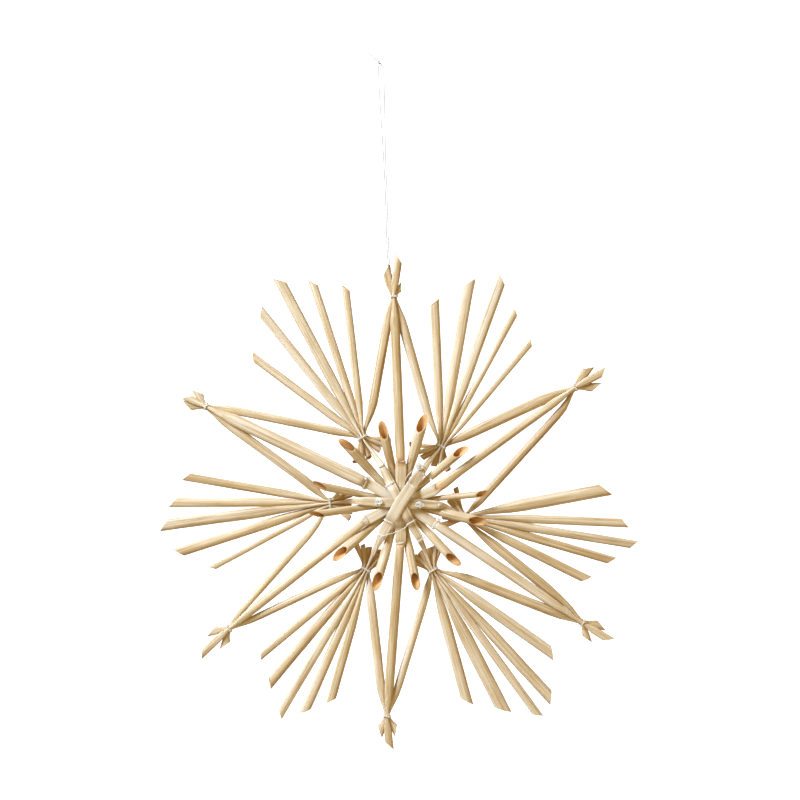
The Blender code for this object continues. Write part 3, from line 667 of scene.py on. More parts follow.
# name: bearing and radius of the tie, bearing of the strip at the centre, spread of the inner ends,
# both side straws, and the bearing, length and width of the five free straws. A side straw has its
# point, its width, and how far it lies to the left of the line between its ties, near the fan and near
# the point, as shares of the radius
FANS = {
    "upper_right": (54.0, 0.352, 56.0, (49.0, 66.0), (
        ("right_high", 0.0052, 0.001, 0.0075), ("top", 0.0048, 0.019, 0.0)), (
        (49.9, 0.695, 0.0034), (61.7, 0.774, 0.0034), (71.2, 0.905, 0.0054),
        (79.1, 0.84, 0.0050), (91.7, 0.725, 0.0046))),
    "upper_left": (120.0, 0.38, 116.0, (54.0, 48.0), (
        ("top", 0.0045, -0.022, 0.005), ("left_high", 0.0042, -0.0015, -0.005)), (
        (97.1, 0.757, 0.0038), (108.5, 0.817, 0.0041), (118.8, 0.897, 0.0053),
        (127.9, 0.818, 0.0046), (142.7, 0.682, 0.0042))),
    "left": (180.4, 0.352, 177.0, (42.0, 42.0), (
        ("left_high", 0.0046, -0.015, 0.0015), ("left_low", 0.0036, 0.025, -0.009)), (
        (170.5, 0.74, 0.0041), (180.8, 0.798, 0.0045), (188.7, 0.85, 0.0055),
        (197.0, 0.805, 0.0050), (208.0, 0.677, 0.0032))),
    "lower_left": (243.0, 0.375, 241.0, (50.0, 33.0), (
        ("left_low", 0.0037, -0.012, 0.005), ("bottom", 0.0046, 0.003, -0.01)), (
        (220.2, 0.682, 0.0040), (230.9, 0.755, 0.0047), (240.1, 0.85, 0.0044),
        (245.7, 0.78, 0.0047), (254.0, 0.69, 0.0044))),
    "lower_right": (296.0, 0.375, 299.0, (40.0, 46.0), (
        ("bottom", 0.0040, 0.004, 0.007), ("right_low", 0.0050, 0.019, 0.002)), (
        (285.9, 0.688, 0.0054), (298.2, 0.798, 0.0066), (306.7, 0.907, 0.0042),
        (311.6, 0.882, 0.0056), (323.9, 0.734, 0.0055))),
    "right": (347.5, 0.331, 357.5, (45.0, 60.0), (
        ("right_low", 0.0050, -0.007, 0.016), ("right_high", 0.0042, 0.004, -0.024)), (
        (334.1, 0.69, 0.0046), (344.5, 0.778, 0.0043), (351.6, 0.873, 0.0043),
        (356.9, 0.815, 0.0044), (369.5, 0.73, 0.0064))),
}

print("points:", list(POINTS), "fans:", list(FANS))


def bearing_of(vector):
    return math.degrees(math.atan2(vector.z, vector.x))


def near_turn(bearing, reference):
    return reference + (bearing - reference + 180) % 360 - 180


def slope_of(way, axis):
    """How far a way goes to the left for each step along an axis."""
    return way.dot(heading(axis + 90)) / way.dot(heading(axis))


# %% [markdown]
# ## Ties of the points and of the fans
#
# A point gathers a ray and two side straws, which end beyond it in three broad, slanted leaves. A
# fan gathers seven straws: five free ones and two side straws. Their short inner ends stand open like
# a small sheaf behind the centre.

# %% A point and a fan
POINT_PRESSED = 0.0005
POINT_PITCH = POINT_PRESSED + PITCH_GAP
POINT_DEPTH = 0.0028
POINT_PRESSED_WIDTH = 0.0020
LEAF_WIDTH = 0.0044
MIDDLE_LEAF_WIDTH = 0.0039
LEAF_CUT = 1.1
FAN_PRESSED = 0.00035
FAN_PITCH = FAN_PRESSED + PITCH_GAP
FAN_PRESSED_DEPTH = 0.0038
FAN_PRESSED_WIDTH = 0.0012
INNER_LENGTH = 0.0108
INNER_WIDTHS = (0.0031, 0.0031 * 0.8)
INNER_LEAN = 0.2
INNER_ROUNDNESS = 1.35
TIP_CUT = 0.9
TIP_ASIDE = 0.3
TIP_ROUNDNESS = 0.6
STRAIGHT_STEP = 0.005

# inner ends that aren't like the others: share of the length, lean backwards and roundness
STUBS = {("left", 0): (0.72, -0.6, 1.2)}

# painted shade on the inner ends, as a brown mix towards the pith colour: for those in the back layer,
# which the front ones shade, then for those in the front layer
SHEAF_PAINTED_SHADE = (0.45, 0.0)

# the first and last straw of a fan are side straws, and lie in these places in the tie of their point
SIDE_SLOTS = {0: 2, 6: 0}


class Point:
    """One point of the star: a ray and two side straws in a tie, with leaves beyond it."""

    def __init__(self, name):
        bearing, share, bound, self.width, leaves = POINTS[name]
        self.leaves = [(leaf[0], leaf[1] * STAR_RADIUS) for leaf in leaves]
        self.middle = place(bearing, share * STAR_RADIUS)
        self.bound = place(bound, BIND_RADIUS, RAY_DEPTH)
        self.axis = near_turn(bearing_of(self.middle - self.bound), bearing)
        slopes = [
            tip_slope(self.axis, (i - 1) * POINT_PITCH, *leaf) for i, leaf in enumerate(self.leaves)
        ]
        self.outside = Bundle(self.middle, self.axis, POINT_PITCH, POINT_DEPTH, slopes)

    def knee(self, slot):
        side = (slot - 1) * POINT_PITCH
        return self.middle - heading(self.axis) * BEND + heading(self.axis + 90) * side

    def tied(self, slot):
        return self.outside.station(slot, 0.0, POINT_PRESSED_WIDTH)

    def leaf(self, slot):
        bearing, length = self.leaves[slot]
        end = length * math.cos(math.radians(bearing - self.axis)) - LEAF_CUT * LEAF_WIDTH / 4
        shares = (0.08, 0.16, 0.28, 0.42, 0.56, 0.7, 0.82, 0.92, 1.0)
        width = MIDDLE_LEAF_WIDTH if slot == 1 else LEAF_WIDTH
        return [self.outside.station(slot, end * s, width, 0.0, TIP_ROUNDNESS) for s in shares]


points = {name: Point(name) for name in POINTS}


def cut_side(index):
    """The side of a free straw that its slanted cut leaves longer: 1 is anticlockwise."""
    return 1 if index <= 3 else -1


class Fan:
    """One fan: five free straws and two side straws in a tie, with short ends inside it."""

    def __init__(self, name):
        self.name = name
        bearing, share, bound, self.inner_spread, self.sides, free = FANS[name]
        self.free = [(tip[0], tip[1] * STAR_RADIUS, tip[2]) for tip in free]
        self.middle = place(bearing, share * STAR_RADIUS, FAN_DEPTH)
        self.bound = place(bound, BIND_RADIUS, STRIP_DEPTH)
        mean = sum(tip[0] for tip in self.free) / len(self.free)
        self.axis = (mean + bearing) / 2
        straight = place(bound, FLAT_RADIUS + STRIP_STRAIGHT)
        strip_bearing = near_turn(bearing_of(self.middle - straight), mean)
        slopes = [
            tip_slope(self.axis, (i - 3) * FAN_PITCH, bearing, length, cut_side(i) * width * TIP_ASIDE)
            for i, (bearing, length, width) in enumerate(self.free, 1)
        ]
        slopes = [self.side_slope(0), *slopes, self.side_slope(6)]
        self.outside = Bundle(self.middle, self.axis, FAN_PITCH, FAN_PRESSED_DEPTH, slopes)
        inward = math.tan(math.radians(strip_bearing - self.axis))
        inner = [
            math.tan(math.radians(self.inner_spread[i > 3] * (i - 3) / 3)) - inward for i in range(7)
        ]
        self.inside = Bundle(self.middle, self.axis, FAN_PITCH, FAN_PRESSED_DEPTH, inner, inward=True)

    def side_line(self, index):
        """The straight part of a side straw: where it starts, where it ends, and its point."""
        point = points[self.sides[index // 6][0]]
        near = self.middle + heading(self.axis) * BEND
        near += heading(self.axis + 90) * ((index - 3) * FAN_PITCH)
        return near, point.knee(SIDE_SLOTS[index]), point

    def side_slope(self, index):
        near, far, _ = self.side_line(index)
        return slope_of(far - near, self.axis)

    def inner_stations(self, index):
        slope = self.inside.slopes[index]
        reach = INNER_LENGTH * math.cos(math.atan(slope)) ** 0.5
        shares = (1.0, 0.94, 0.86, 0.76, 0.65, 0.53, 0.4, 0.28, 0.18, 0.1, 0.04)
        shorter, lean, roundness = STUBS.get((self.name, index), (1.0, INNER_LEAN, INNER_ROUNDNESS))
        # painted shade: the back layer of a sheaf is darkened where the front layer would shade it; the odd
        # stub is not
        stain_and_shade = 0.0 if (self.name, index) in STUBS else SHEAF_PAINTED_SHADE[index % 2]
        width = INNER_WIDTHS[index % 2]
        return [
            (*self.inside.station(index, reach * shorter * s, width, lean, roundness), stain_and_shade)
            for s in shares
        ]

    def tied(self, index):
        return self.outside.station(index, 0.0, FAN_PRESSED_WIDTH)

    def free_stations(self, index):
        bearing, length, width = self.free[index - 1]
        end = length * math.cos(math.radians(bearing - self.axis)) - TIP_CUT * width / 4
        runs = [0.0007, 0.0015, 0.0025, 0.0037, 0.005, 0.0068, 0.009, 0.012, 0.016, 0.021, 0.028]
        steps = round((end - runs[-1]) / STRAIGHT_STEP)
        runs += [blend(step / steps, runs[-1], end) for step in range(1, steps)]
        runs += [end - width * s for s in (0.8, 0.55, 0.35, 0.18) if end - width * s > runs[-1]]
        return [
            self.outside.station(index, run, width, 0.0, blend(run / end, ROUNDNESS, TIP_ROUNDNESS))
            for run in sorted([*runs, end])
        ]


fans = {name: Fan(name) for name in FANS}
print("ties:", len(points), "of points and", len(fans), "of fans")

# %% [markdown]
# ## The free straws of the fans
#
# Their tips are cut on a slant, some one way and some the other, and show the thin wall. Each straw
# gets its own tone, because no two stems dry to the same colour.

# %% Free straws
chance = random.Random(27)
count = 0
for fan_name, fan in fans.items():
    for index in (1, 2, 4, 5):
        inner_cut = (0.25, chance.uniform(-0.3, 0.9))
        tip_cut = (TIP_CUT * cut_side(index), chance.uniform(-0.5, 0.4))
        stem(
            f"free_straw_{fan_name}_{index}", f"fan_{fan_name}_straw_{index}",
            [*fan.inner_stations(index), fan.tied(index), *fan.free_stations(index)],
            (inner_cut, tip_cut), count, chance.uniform(0.2, 0.8), uneven=0.07,
        )
        count += 1
print("free straws:", count)

# %% [markdown]
# ## The side straws
#
# A side straw goes from the sheaf of one fan through its tie, along to the next point, through that
# tie and out to a leaf. Each end has its own bend, and between them the stem is straight and round.

# %% Side straws
BOW_RUN = 0.014
TIE_TAPER = 0.015
SIDE_PINCHED = 0.0008
SIDE_LEAST = 0.0007
SIDE_SHARE = 0.72
LEAVING_FAN = (0.0007, 0.0015, 0.0027, 0.004, 0.006, 0.009, 0.013, 0.018, 0.024)
NEARING_POINT = (0.022, 0.016, 0.011, 0.0075, 0.005, 0.0033, 0.002, 0.001)


def side_stations(fan, index, width, near_shift, far_shift):
    near, far, point = fan.side_line(index)
    slot = SIDE_SLOTS[index]
    way = far - near
    length = way.length
    left = Vector((-way.z, 0, way.x)) / length * STAR_RADIUS
    point_slope = -slope_of(way, point.axis)
    fan_step = way.dot(heading(fan.axis)) / length
    point_step = way.dot(heading(point.axis)) / length
    travels = [(run - BEND) / fan_step for run in LEAVING_FAN]
    far_travels = [length - (run - BEND) / point_step for run in NEARING_POINT]
    travels += [blend(step / 5, travels[-1], far_travels[0]) for step in range(1, 5)]
    stations = [*fan.inner_stations(index), fan.tied(index)]
    for travel in [*travels, *far_travels]:
        fan_run = BEND + travel * fan_step
        point_run = BEND + (length - travel) * point_step
        at = near + way * (travel / length)
        at += heading(fan.axis + 90) * fan.outside.slopes[index] * BEND * math.exp(-fan_run / BEND)
        at += heading(point.axis + 90) * point_slope * BEND * math.exp(-point_run / BEND)
        bow = smooth(fan_run / BOW_RUN) * smooth(point_run / BOW_RUN)
        at += left * blend(travel / length, near_shift, far_shift) * bow
        beside_ray = POINT_PITCH + spread(point_run, abs(point_slope))
        half_width = min(
            blend(smooth(point_run / TIE_TAPER), SIDE_PINCHED, width / 2),
            fan.outside.room(index, fan_run),
            max(SIDE_LEAST, beside_ray * math.cos(math.atan(point_slope)) * SIDE_SHARE),
        )
        half_depth = min(
            blend(smooth(fan_run / OPENING), FAN_PRESSED_DEPTH / 4, width * ROUNDNESS / 2),
            blend(smooth(point_run / OPENING), POINT_DEPTH / 4, width * ROUNDNESS / 2),
        )
        share = smooth(travel / length)
        behind = fan.outside.layer(index, fan_run) * (1 - share)
        behind += point.outside.layer(slot, point_run) * share
        stations.append((at + Vector((0, behind, 0)), half_width, half_depth))
    return [*stations, point.tied(slot), *point.leaf(slot)]


for fan_name, fan in fans.items():
    for index in SIDE_SLOTS:
        point_name, *shape = fan.sides[index // 6]
        inner_cut = (0.2, chance.uniform(-0.3, 0.9))
        leaf_cut = (-LEAF_CUT if index == 0 else LEAF_CUT, chance.uniform(-0.3, 0.3))
        stem(
            f"side_straw_{fan_name}_{point_name}", f"side_straw_{fan_name}_to_{point_name}",
            side_stations(fan, index, *shape), (inner_cut, leaf_cut), count,
            chance.uniform(0.2, 0.8), uneven=0.06,
        )
        count += 1
print("free and side straws:", count)

# %% [markdown]
# ## Strips and rays
#
# Six long straws cross the centre, pressed flat there so that the pile stays thin. Three are the
# strips, which are also the middle straws of the fans, and three are the rays behind them. Both kinds
# are built from the middle outwards, one half at a time, so that the halves can differ.

# %% Flat halves
STRIP_STACK = (0.0075, 0.0125)
RAY_STACK = (0.0060, 0.0105)
LAYER = FLAT_THICKNESS + PITCH_GAP
RAY_FLAT_WIDTH = 0.0052
EVEN_RADIUS = 0.005
STRIPS = (
    ("upper_right", "lower_left", 0.0060), ("upper_left", "lower_right", 0.0050), ("right", "left", 0.0050),
)
RAYS = (("top", "bottom"), ("right_high", "left_low"), ("left_high", "right_low"))


def crossing(name, node, halves, depth, half_width, cuts, number, tone, **look):
    """A straw from one tip through the centre of the star to the other."""
    middle = (place(0, 0, depth), half_width, FLAT_THICKNESS / 2)
    straw = stem(name, node, [*reversed(halves[0]), middle, *halves[1]], cuts, number, tone, **look)
    print(name, "faces:", len(straw.data.polygons))


def flat_half(bound, own_depth, stack, centre_depth, width, middle_share, end_share):
    """The flat part of a strip or ray, from beside the middle of the star outwards."""
    stations = []
    for radius in (0.002, 0.004, 0.0055, 0.007, 0.0085, 0.010, 0.0115, 0.013, 0.0155, FLAT_RADIUS):
        share = smooth((radius - stack[0]) / (stack[1] - stack[0]))
        toward = (bound - place(0, 0, own_depth)) * (radius / BIND_RADIUS)
        at = place(0, 0, blend(share, centre_depth, own_depth)) + Vector((toward.x, 0, toward.z))
        share = smooth((radius - EVEN_RADIUS) / (FLAT_RADIUS - EVEN_RADIUS))
        stations.append((at, blend(share, middle_share, end_share) * width / 2, FLAT_THICKNESS / 2))
    return stations


def strip_half(fan, centre_depth, width):
    stations = flat_half(fan.bound, STRIP_DEPTH, STRIP_STACK, centre_depth, width, 1.0, 0.84)
    flat_end = stations[-1][0]
    straight = flat_end + (flat_end - stations[4][0]).normalized() * STRIP_STRAIGHT
    knee = fan.middle - heading(fan.axis) * BEND
    for share in (0.06, 0.13, 0.21, 0.3, 0.4, 0.5, 0.6, 0.7, 0.8, 0.88, 0.95):
        left = 1 - share
        half_width = blend(left ** 1.15, FAN_PRESSED_WIDTH / 2, width * 0.42)
        half_depth = blend(share, FLAT_THICKNESS / 2, FAN_PRESSED_DEPTH / 4)
        at = flat_end.lerp(straight, share).lerp(straight.lerp(knee, share), share)
        at.y = blend(smooth(share * 1.25), STRIP_DEPTH, FAN_DEPTH) + fan.outside.layer(3, 0) * share
        stations.append((at, half_width, half_depth))
    return [*stations, fan.tied(3), *fan.free_stations(3)]


for layer, (start, end, width) in enumerate(STRIPS):
    depth = RAY_DEPTH - LAYER * (len(RAYS) - 1 + len(STRIPS) - layer)
    halves = [strip_half(fans[name], depth, width) for name in (start, end)]
    crossing(
        f"strip_{start}_{end}", f"strip_{start}_to_{end}", halves, depth, width / 2,
        ((-TIP_CUT, 0.2), (TIP_CUT, -0.2)), 60 + layer, 0.62 - 0.14 * layer, corners=0.85, pale=True,
    )


# how pale the pressed part of a ray is, how brown some rays are just beyond the thread, as painted
# shadow where the fans and a short tube shade the top and right_high rays and as a darker brown on
# the bottom ray, how much one swells there, and how far before its tie one has a brown node
FLAT_BLEACHED = -0.35
RAY_SHADE_AND_STAINS = {"top": 0.7, "right_high": 0.6, "bottom": 0.3}
RAY_SWELLING = {"right_high": 0.3}
NODES = {"bottom": 0.0272}
USUAL_NODE = 0.0265
NODE_STAIN = 0.6
NODE_STEP = 0.0007

# beyond the thread: the way travelled, and the share of the ray's width and of its roundness
LEAVING_PILE = (
    (0.001, 1.16, 0.03), (0.0018, 1.12, 0.08), (0.0026, 0.98, 0.35), (0.0034, 0.92, 0.75),
    (0.0045, 0.93, 0.93), (0.006, 0.96, 1.0), (0.0085, 0.99, 1.0),
    *((run, 1.0, 1.0) for run in (0.012, 0.018, 0.026, 0.035)),
)


def hump(run, top, reach):
    """Rises to 1 at its top and fades on both sides."""
    return math.exp(-((run - top) / reach) ** 2)


def ray_half(name, centre_depth):
    point = points[name]
    flat = flat_half(point.bound, RAY_DEPTH, RAY_STACK, centre_depth, RAY_FLAT_WIDTH, 0.82, 1.06)
    stations = [(*station, FLAT_BLEACHED) for station in flat]
    flat_end = stations[-1][0]
    way = point.middle - flat_end
    full_depth = point.width * ROUNDNESS / 2
    for run, narrow, round_share in LEAVING_PILE:
        half_depth = blend(round_share, FLAT_THICKNESS / 2, full_depth)
        narrow += RAY_SWELLING.get(name, 0.0) * hump(run, 0.006, 0.005)
        # a brown mix towards the pith colour just beyond the thread: painted shadow on the top and
        # right_high rays, a darker brown on the bottom one
        stain_and_shade = RAY_SHADE_AND_STAINS.get(name, 0.0) * hump(run, 0.0034, 0.003)
        stations.append((flat_end + way.normalized() * run, point.width * narrow / 2, half_depth, stain_and_shade))
    lines = [fan.side_line(index) for fan in fans.values() for index in SIDE_SLOTS]
    slopes = [abs(slope_of(far - near, point.axis)) for near, far, owner in lines if owner is point]
    node = NODES.get(name, USUAL_NODE)
    for run in (
        0.038, 0.032, node + NODE_STEP, node, node - NODE_STEP, 0.023, 0.016, 0.012, 0.008, 0.0055,
        0.004, 0.0025, 0.0015, 0.0007,
    ):
        spacing = min(POINT_PITCH + spread(run, slope) for slope in slopes)
        half_depth = blend(smooth(run / 0.02), POINT_DEPTH / 4, full_depth)
        at = point.middle - way.normalized() * run
        at += Vector((0, point.outside.layer(1, run) * (1 - smooth(run / 0.038)), 0))
        stain_and_shade = NODE_STAIN if name in NODES and run == node else 0.0
        taper = blend(smooth(run / TIE_TAPER), PINCHED, point.width / 2)
        stations.append((at, min(taper, max(spacing * 0.85, PINCHED)), half_depth, stain_and_shade))
    return [*stations, point.tied(1), *point.leaf(1)]


for layer, (start, end) in enumerate(RAYS):
    depth = RAY_DEPTH - LAYER * (len(RAYS) - 1 - layer)
    halves = [ray_half(name, depth) for name in (start, end)]
    crossing(
        f"ray_{start}_{end}", f"ray_{start}_to_{end}", halves, depth, RAY_FLAT_WIDTH * 0.41,
        ((-LEAF_CUT, 0.2), (LEAF_CUT, -0.2)), 70 + layer, 0.4 + 0.15 * layer, uneven=0.04, corners=0.9,
    )

# %% [markdown]
# ## The short tubes
#
# Six short straws cross behind the rays, pressed a little under the thread. Outside the binding they
# are round, rise towards the viewer and end in slanted cuts, through which their brown insides show.

# %% Short tubes
TUBE_WAIST = 0.0040
TUBE_FLAT_WIDTH = 0.0038
TUBE_STACK = (0.0040, 0.0120)
TUBE_DEPTH = 0.0018
TUBE_RISE = 0.32
TUBE_CUT = 2.2
ROUNDING_START = 0.016
ROUNDING_LENGTH = 0.011

# bearing and radius of the tip at each end, how far its cut turns to the left, and its width
TUBES = (
    ((40.5, 0.445, -20, 0.0044), (220.0, 0.442, 10, 0.0048)),
    ((74.5, 0.472, -20, 0.0052), (253.7, 0.458, 0, 0.0050)),
    ((103.0, 0.425, 0, 0.0048), (281.3, 0.445, 0, 0.0046)),
    ((132.3, 0.445, 25, 0.0048), (313.5, 0.435, 15, 0.0046)),
    ((6.7, 0.445, 20, 0.0032), (187.3, 0.46, -45, 0.0038)),
    ((347.3, 0.45, 10, 0.0048), (167.6, 0.45, -40, 0.0040)),
)


def tube_half(bearing, tip, width, centre_depth):
    stations = []
    end = tip * STAR_RADIUS - TUBE_CUT * width / 2
    radii = [0.002, 0.004, 0.0055, 0.007, 0.009, 0.011, 0.013, 0.0155, 0.018, 0.020, 0.022, 0.0245, 0.027]
    radii += [blend(step / 8, 0.028, end) for step in range(1, 9)]
    for radius in radii:
        opening = smooth((radius - TUBE_STACK[0]) / (BIND_RADIUS - TUBE_STACK[0]))
        rounding = smooth((radius - ROUNDING_START) / ROUNDING_LENGTH)
        waist = min(TUBE_WAIST, width * 0.8)
        half_width = blend(rounding, blend(opening, TUBE_FLAT_WIDTH / 2, waist / 2), width / 2)
        half_depth = blend(rounding, blend(opening, FLAT_THICKNESS / 2, waist * 0.4), width / 2)
        depth = TUBE_DEPTH - max(radius - BIND_RADIUS, 0.0) * TUBE_RISE
        share = smooth((radius - TUBE_STACK[0]) / (TUBE_STACK[1] - TUBE_STACK[0]))
        stations.append((place(bearing, radius, blend(share, centre_depth, depth)), half_width, half_depth))
    return stations


for layer, ends in enumerate(TUBES):
    depth = RAY_DEPTH + LAYER + layer * FLAT_THICKNESS * 0.8
    halves = [tube_half(bearing, tip, width, depth) for bearing, tip, _, width in ends]
    cuts = [
        (TUBE_CUT * side * math.sin(math.radians(turn)), TUBE_CUT * math.cos(math.radians(turn)))
        for side, (_, _, turn, _) in zip((-1, 1), ends)
    ]
    crossing(
        f"short_tube_{layer + 1}", "short_tubes", halves, depth, TUBE_FLAT_WIDTH / 2, cuts, 80 + layer,
        chance.uniform(0.35, 0.65),
    )

# %% [markdown]
# ## Two-ply thread
#
# Thread is two thin plies that wind round each other. Geometry Nodes follow the route, shift each
# ply off the middle line by a vector that turns as it goes, and wrap it in a small ring.

# %% The thread tree
THREAD = 0.00045
PLY_SIDES = 5
PLY_SHIFT = 0.72

twine = Growing("two_ply", (
    ("Ply radius", "Float", 0.00013), ("Lay length", "Float", 0.0016), ("Step", "Float", 0.0002),
    ("Material", "Material", None),
))
route = twine.node("GeometryNodeMeshToCurve", {}, {"Mesh": twine.given("Geometry")})
route = twine.node(
    "GeometryNodeResampleCurve", {"mode": "LENGTH"}, {"Curve": route, "Length": twine.given("Step")}
)
tangent = twine.node("GeometryNodeInputTangent", {}, {})
normal = twine.node("GeometryNodeInputNormal", {}, {})
binormal = twine.vector("CROSS_PRODUCT", tangent, normal)
travelled = twine.node("GeometryNodeSplineParameter", {}, {}, 1)
winding = twine.maths("DIVIDE", travelled, twine.given("Lay length")) * (2 * math.pi)
plies = []
for ply in (0, 1):
    angle = winding + ply * math.pi
    side = twine.scaled(normal, twine.maths("COSINE", angle))
    other = twine.scaled(binormal, twine.maths("SINE", angle))
    shift = twine.scaled(twine.vector("ADD", side, other), twine.given("Ply radius") * PLY_SHIFT)
    shifted = twine.node("GeometryNodeSetPosition", {}, {"Geometry": route, "Offset": shift})
    plies.append(twine.wrapped(shifted, PLY_SIDES, twine.given("Ply radius")))
both = twine.tree.nodes.new("GeometryNodeJoinGeometry")
for ply in plies:
    twine.tree.links.new(ply.socket, both.inputs[0])
two_ply = twine.close(Value(twine, both.outputs[0]), twine.given("Material"))
print("thread tree nodes:", len(two_ply.nodes))


def thread(name, node, way, material=cotton):
    """A piece of two-ply thread along a way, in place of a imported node."""
    made = grown(name, two_ply, way, {}, {"Material": material})
    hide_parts(node)
    return made


# %% [markdown]
# ## The hanging loop
#
# Two strands leave the knot, hang nearly straight under the weight of the star and go in behind the
# leaves of the top point. A thread under load hardly curves, so the route has only a soft bow.

# %% Strands of the loop
LOOP_DROP = 0.115
CORD_STEP = 0.003

# where the strands leave the knot, in thread widths
KNOT_EXITS = {"left": (-0.67, 0.0, -3.11), "right": (5.33, 0.0, -8.89)}

# shares of the drop: how far right the left and the right strand are, and their depth and height
STRAND_WAY = (
    (0.0026, 0.0235, 0.0009, -0.1461), (0.0148, 0.0270, 0.0017, -0.3287),
    (0.0217, 0.0296, 0.0035, -0.4504), (0.0278, 0.0348, 0.0070, -0.5722),
    (0.0330, 0.0400, 0.0122, -0.7548), (0.0383, 0.0452, 0.0200, -0.8609),
    (0.0496, 0.0565, 0.0243, -0.9391), (0.0591, 0.0661, 0.0252, -1.0000),
)


def curve_through(route, spacing):
    """Points at an even spacing along a smooth curve through some points."""
    ends = [route[0] * 2 - route[1], *route, route[-1] * 2 - route[-2]]
    found = []
    for before, start, end, after in zip(ends, ends[1:], ends[2:], ends[3:]):
        steps = max(1, round((end - start).length / spacing))
        for step in range(steps):
            t = step / steps
            found.append(
                (start * 2 + (end - before) * t
                 + (before * 2 - start * 5 + end * 4 - after) * t ** 2
                 + (start * 3 - before - end * 3 + after) * t ** 3) / 2
            )
    return [*found, route[-1]]


strands = []
for number, (side, start) in enumerate(KNOT_EXITS.items()):
    way = [Vector(start) * THREAD]
    way += [Vector((row[number], row[2], row[3])) * LOOP_DROP for row in STRAND_WAY]
    way = curve_through(way, CORD_STEP)
    node = f"hanging_strand_{side}"
    strands.append((thread(f"{node}_thread", node, way, loop_cotton_painted_shade), way))
    print("strand", side, "runs through", len(way), "places")

# %% [markdown]
# ## The knot of the loop
#
# The strands join in a small overhand knot with one loose tail. Here the knot is a thread like the
# others that winds round itself.

# %% Knot and tail
# the way of the thread from the loose tail to the strands, in tenths of a millimetre
KNOT_WAY = (
    (-57, 0, 49), (-44, 2, 40), (-31, 1, 26), (-19, -1, 17), (-9, 0, 8), (-1, -3, 5), (6, -2, -1),
    (2, 3, -6), (-4, 1, -2), (1, -4, 3), (7, -3, -6), (5, 3, -9), (1, 2, -7), (4, -3, -4), (11, -2, -11),
    (13, 2, -17), (18, 1, -21), (24, 0, -30),
)
KNOT_STEP = 0.0003

knot_way = curve_through([Vector([x / 10000 for x in at]) for at in KNOT_WAY], KNOT_STEP)
knot = thread("knot_and_tail", "hanging_knot", knot_way, loop_cotton_painted_shade)
for strand, way in strands:
    sum((b - a).length for a, b in zip(way, way[1:]))
print("hanging loop ready")

# %% [markdown]
# ## Ties round the points and the fans
#
# Each tie is two turns of thread drawn tight round the pressed straws, so it follows their squarish
# outline. The thread starts and ends behind, out of sight. A curve that rounds a square, with one
# exponent for how square it is, is simpler than modelling each corner.

# %% Ties
SQUARENESS = 0.4
SUNK = 0.4
TURN_STEPS = 36
TURN_RISE = 0.00046


def tie(name, node, bundle, half_width, turns=2):
    """Turns of thread, side by side, that wind round a bundle from its back."""
    half_width += THREAD * SUNK
    half_depth = bundle.pressed_depth / 2 + PITCH_GAP * 0.6 + THREAD * SUNK
    way = []
    for step in range(TURN_STEPS * turns + 1):
        turn = math.pi / 2 + 2 * math.pi * step / TURN_STEPS
        side = math.copysign(abs(math.cos(turn)) ** SQUARENESS, math.cos(turn))
        back = math.copysign(abs(math.sin(turn)) ** SQUARENESS, math.sin(turn))
        at = bundle.middle + bundle.across * side * half_width + Vector((0, back * half_depth, 0))
        way.append(at + bundle.axis * ((step / TURN_STEPS - turns / 2) * TURN_RISE))
    thread(name, node, way)


for fan_name, fan in fans.items():
    half_width = 3 * FAN_PITCH + FAN_PRESSED / 2 + PITCH_GAP * 1.4
    tie(f"fan_tie_{fan_name}", f"tie_fan_{fan_name}", fan.outside, half_width)
for point_name, point in points.items():
    half_width = POINT_PITCH + POINT_PRESSED_WIDTH / 2
    tie(f"point_tie_{point_name}", f"tie_point_{point_name}", point.outside, half_width)
print("ties wound:", len(fans) + len(points))

# %% [markdown]
# ## The binding of the centre
#
# One long thread weaves the pile of flat straws together. It shows where it passes over a strip or a
# ray and hides where it passes under one, so it is built as the short stretches that show. Small knots
# and a few loose lengths lie over them.

# %% Centre binding
OVER_STRIP = STRIP_DEPTH - FLAT_THICKNESS / 2 - THREAD * 0.45
OVER_RAY = RAY_DEPTH - 0.0009 - THREAD * 0.45
OVER_PILE = OVER_STRIP - 0.0012
OVER_BINDING = OVER_PILE - 0.0003
END_DEPTH = -0.0016
EDGE_FALL = 0.0018
TURN_PITCH = 0.85
STRETCH_STEPS = 10
LOOSE_STEP = 0.0006
TANGLE_TURNS = 34
TANGLE_HEIGHT = 0.0013

# start, end, turns and depth of each stretch; here and below the places are in millimetres from the
# middle of the star
STRETCHES = (
    ((-10.9, 17.9), (-7.3, 20.1), 2, OVER_STRIP), ((-2.6, 22.0), (2.9, 20.6), 3, OVER_RAY),
    ((9.5, 16.2), (12.7, 13.5), 2, OVER_STRIP), ((15.2, 12.0), (17.9, 6.9), 2, OVER_RAY),
    ((-18.7, 7.2), (-15.9, 12.6), 2, OVER_RAY), ((-18.6, -5.4), (-15.6, -10.4), 2, OVER_RAY),
    ((-2.7, -20.5), (2.6, -19.6), 2, OVER_RAY), ((8.4, -19.6), (12.6, -16.9), 2, OVER_STRIP),
    ((16.4, -13.2), (19.0, -7.5), 3, OVER_RAY), ((-11.2, -15.2), (-7.4, -17.2), 2, OVER_STRIP),
    ((-7.3, 8.2), (-2.5, 10.9), 2, OVER_PILE), ((3.5, 10.3), (8.2, 6.9), 2, OVER_PILE),
    ((-7.9, -7.9), (-2.9, -10.8), 2, OVER_PILE), ((2.9, -11.0), (8.1, -8.0), 2, OVER_PILE),
    ((-11.3, 2.9), (-10.3, -2.2), 2, OVER_STRIP), ((8.9, 2.4), (9.8, -3.2), 2, OVER_STRIP),
)

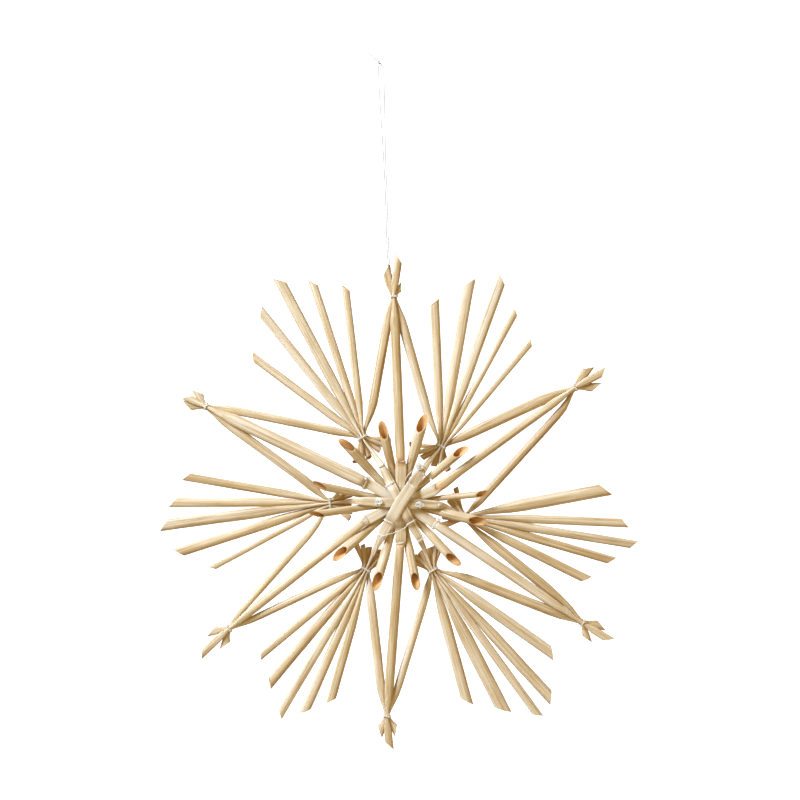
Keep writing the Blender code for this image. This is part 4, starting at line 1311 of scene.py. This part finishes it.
# loose lengths of the same thread
LOOSE = (
    ((-9.2, -16.6), (-6.5, -15.6), (-4.2, -15.1), (-0.8, -13.9), (2.4, -12.3), (3.4, -11.2)),
    ((-8.4, -16.2), (-10.2, -17.4), (-11.1, -19.8), (-11.8, -22.0), (-12.4, -24.4), (-13.0, -26.0)),
    ((2.9, 11.2), (3.2, 13.0), (5.5, 15.6), (8.4, 17.7)),
    ((3.8, 9.9), (5.0, 12.6), (6.7, 14.4), (9.2, 16.8)),
    ((10.4, 18.0), (12.2, 17.2), (13.4, 15.2)),
)

# loose ends of the ties of two points
THREAD_ENDS = {
    "right_low": ((91.6, -58.4), (91.9, -56.8), (91.4, -53.0)),
    "bottom": ((-6.2, -105.4), (-3.4, -105.6), (-0.9, -107.4)),
}

# small knots: middle, size and depth
KNOTS = (
    ((9.8, 18.4), 2.4, OVER_STRIP), ((-10.6, 0.6), 2.2, OVER_PILE), ((9.9, -0.9), 2.4, OVER_PILE),
    ((19.2, -7.9), 1.1, OVER_RAY), ((19.7, -0.8), 0.9, OVER_STRIP), ((-8.7, -16.4), 1.0, OVER_STRIP),
    ((-17.0, 12.2), 0.8, OVER_RAY),
)


def star_point(right, up, depth):
    return Vector((STAR_RIGHT + right / 1000, depth, -STAR_DROP + up / 1000))


def stretch(name, start, end, turns, depth):
    """Turns of thread side by side, that come up at one edge of a strip and go down at the other."""
    first, last = star_point(*start, depth), star_point(*end, depth)
    side = (last - first).cross(Vector((0, 1, 0))).normalized()
    way = []
    for turn in range(turns):
        row = []
        for step in range(STRETCH_STEPS + 1):
            share = step / STRETCH_STEPS
            fall = (1 - min(1.0, 4 * min(share, 1 - share))) ** 2 * EDGE_FALL
            wavy = turn - (turns - 1) / 2 + 0.2 * math.sin(2.2 * share + turn)
            shift = side * THREAD * TURN_PITCH * wavy
            row.append(first.lerp(last, share) + shift + Vector((0, fall, 0)))
        way += row if turn % 2 == 0 else list(reversed(row))
    thread(name, "centre_binding", way)


def loose(name, node, spots, depth):
    way = [star_point(*spot, depth) for spot in spots]
    thread(name, node, curve_through(way, LOOSE_STEP))


def tangle(name, middle, size, depth, number):
    """A small knot: a thread that turns about its middle on a seeded, uneven way."""
    wander = random.Random(number)
    way = []
    for step in range(TANGLE_TURNS):
        turn = step * 2.1 + wander.uniform(-0.6, 0.6)
        reach = size * wander.uniform(0.0, 1.0) ** 0.7
        spot = star_point(middle[0] + math.cos(turn) * reach, middle[1] + math.sin(turn) * reach * 0.8, 0)
        way.append(spot + Vector((0, depth + wander.uniform(-TANGLE_HEIGHT, 0.0), 0)))
    thread(name, "centre_binding", curve_through(way, KNOT_STEP))


for number, row in enumerate(STRETCHES, 1):
    stretch(f"binding_{number}", *row)
for number, spots in enumerate(LOOSE, 1):
    loose(f"loose_thread_{number}", "centre_binding", spots, OVER_BINDING)
for number, row in enumerate(KNOTS, 1):
    tangle(f"knot_{number}", *row, number)
for point_name, spots in THREAD_ENDS.items():
    loose(f"thread_end_{point_name}", f"tie_point_{point_name}", spots, END_DEPTH)
print("pieces of binding thread:", len(STRETCHES) + len(LOOSE) + len(KNOTS))
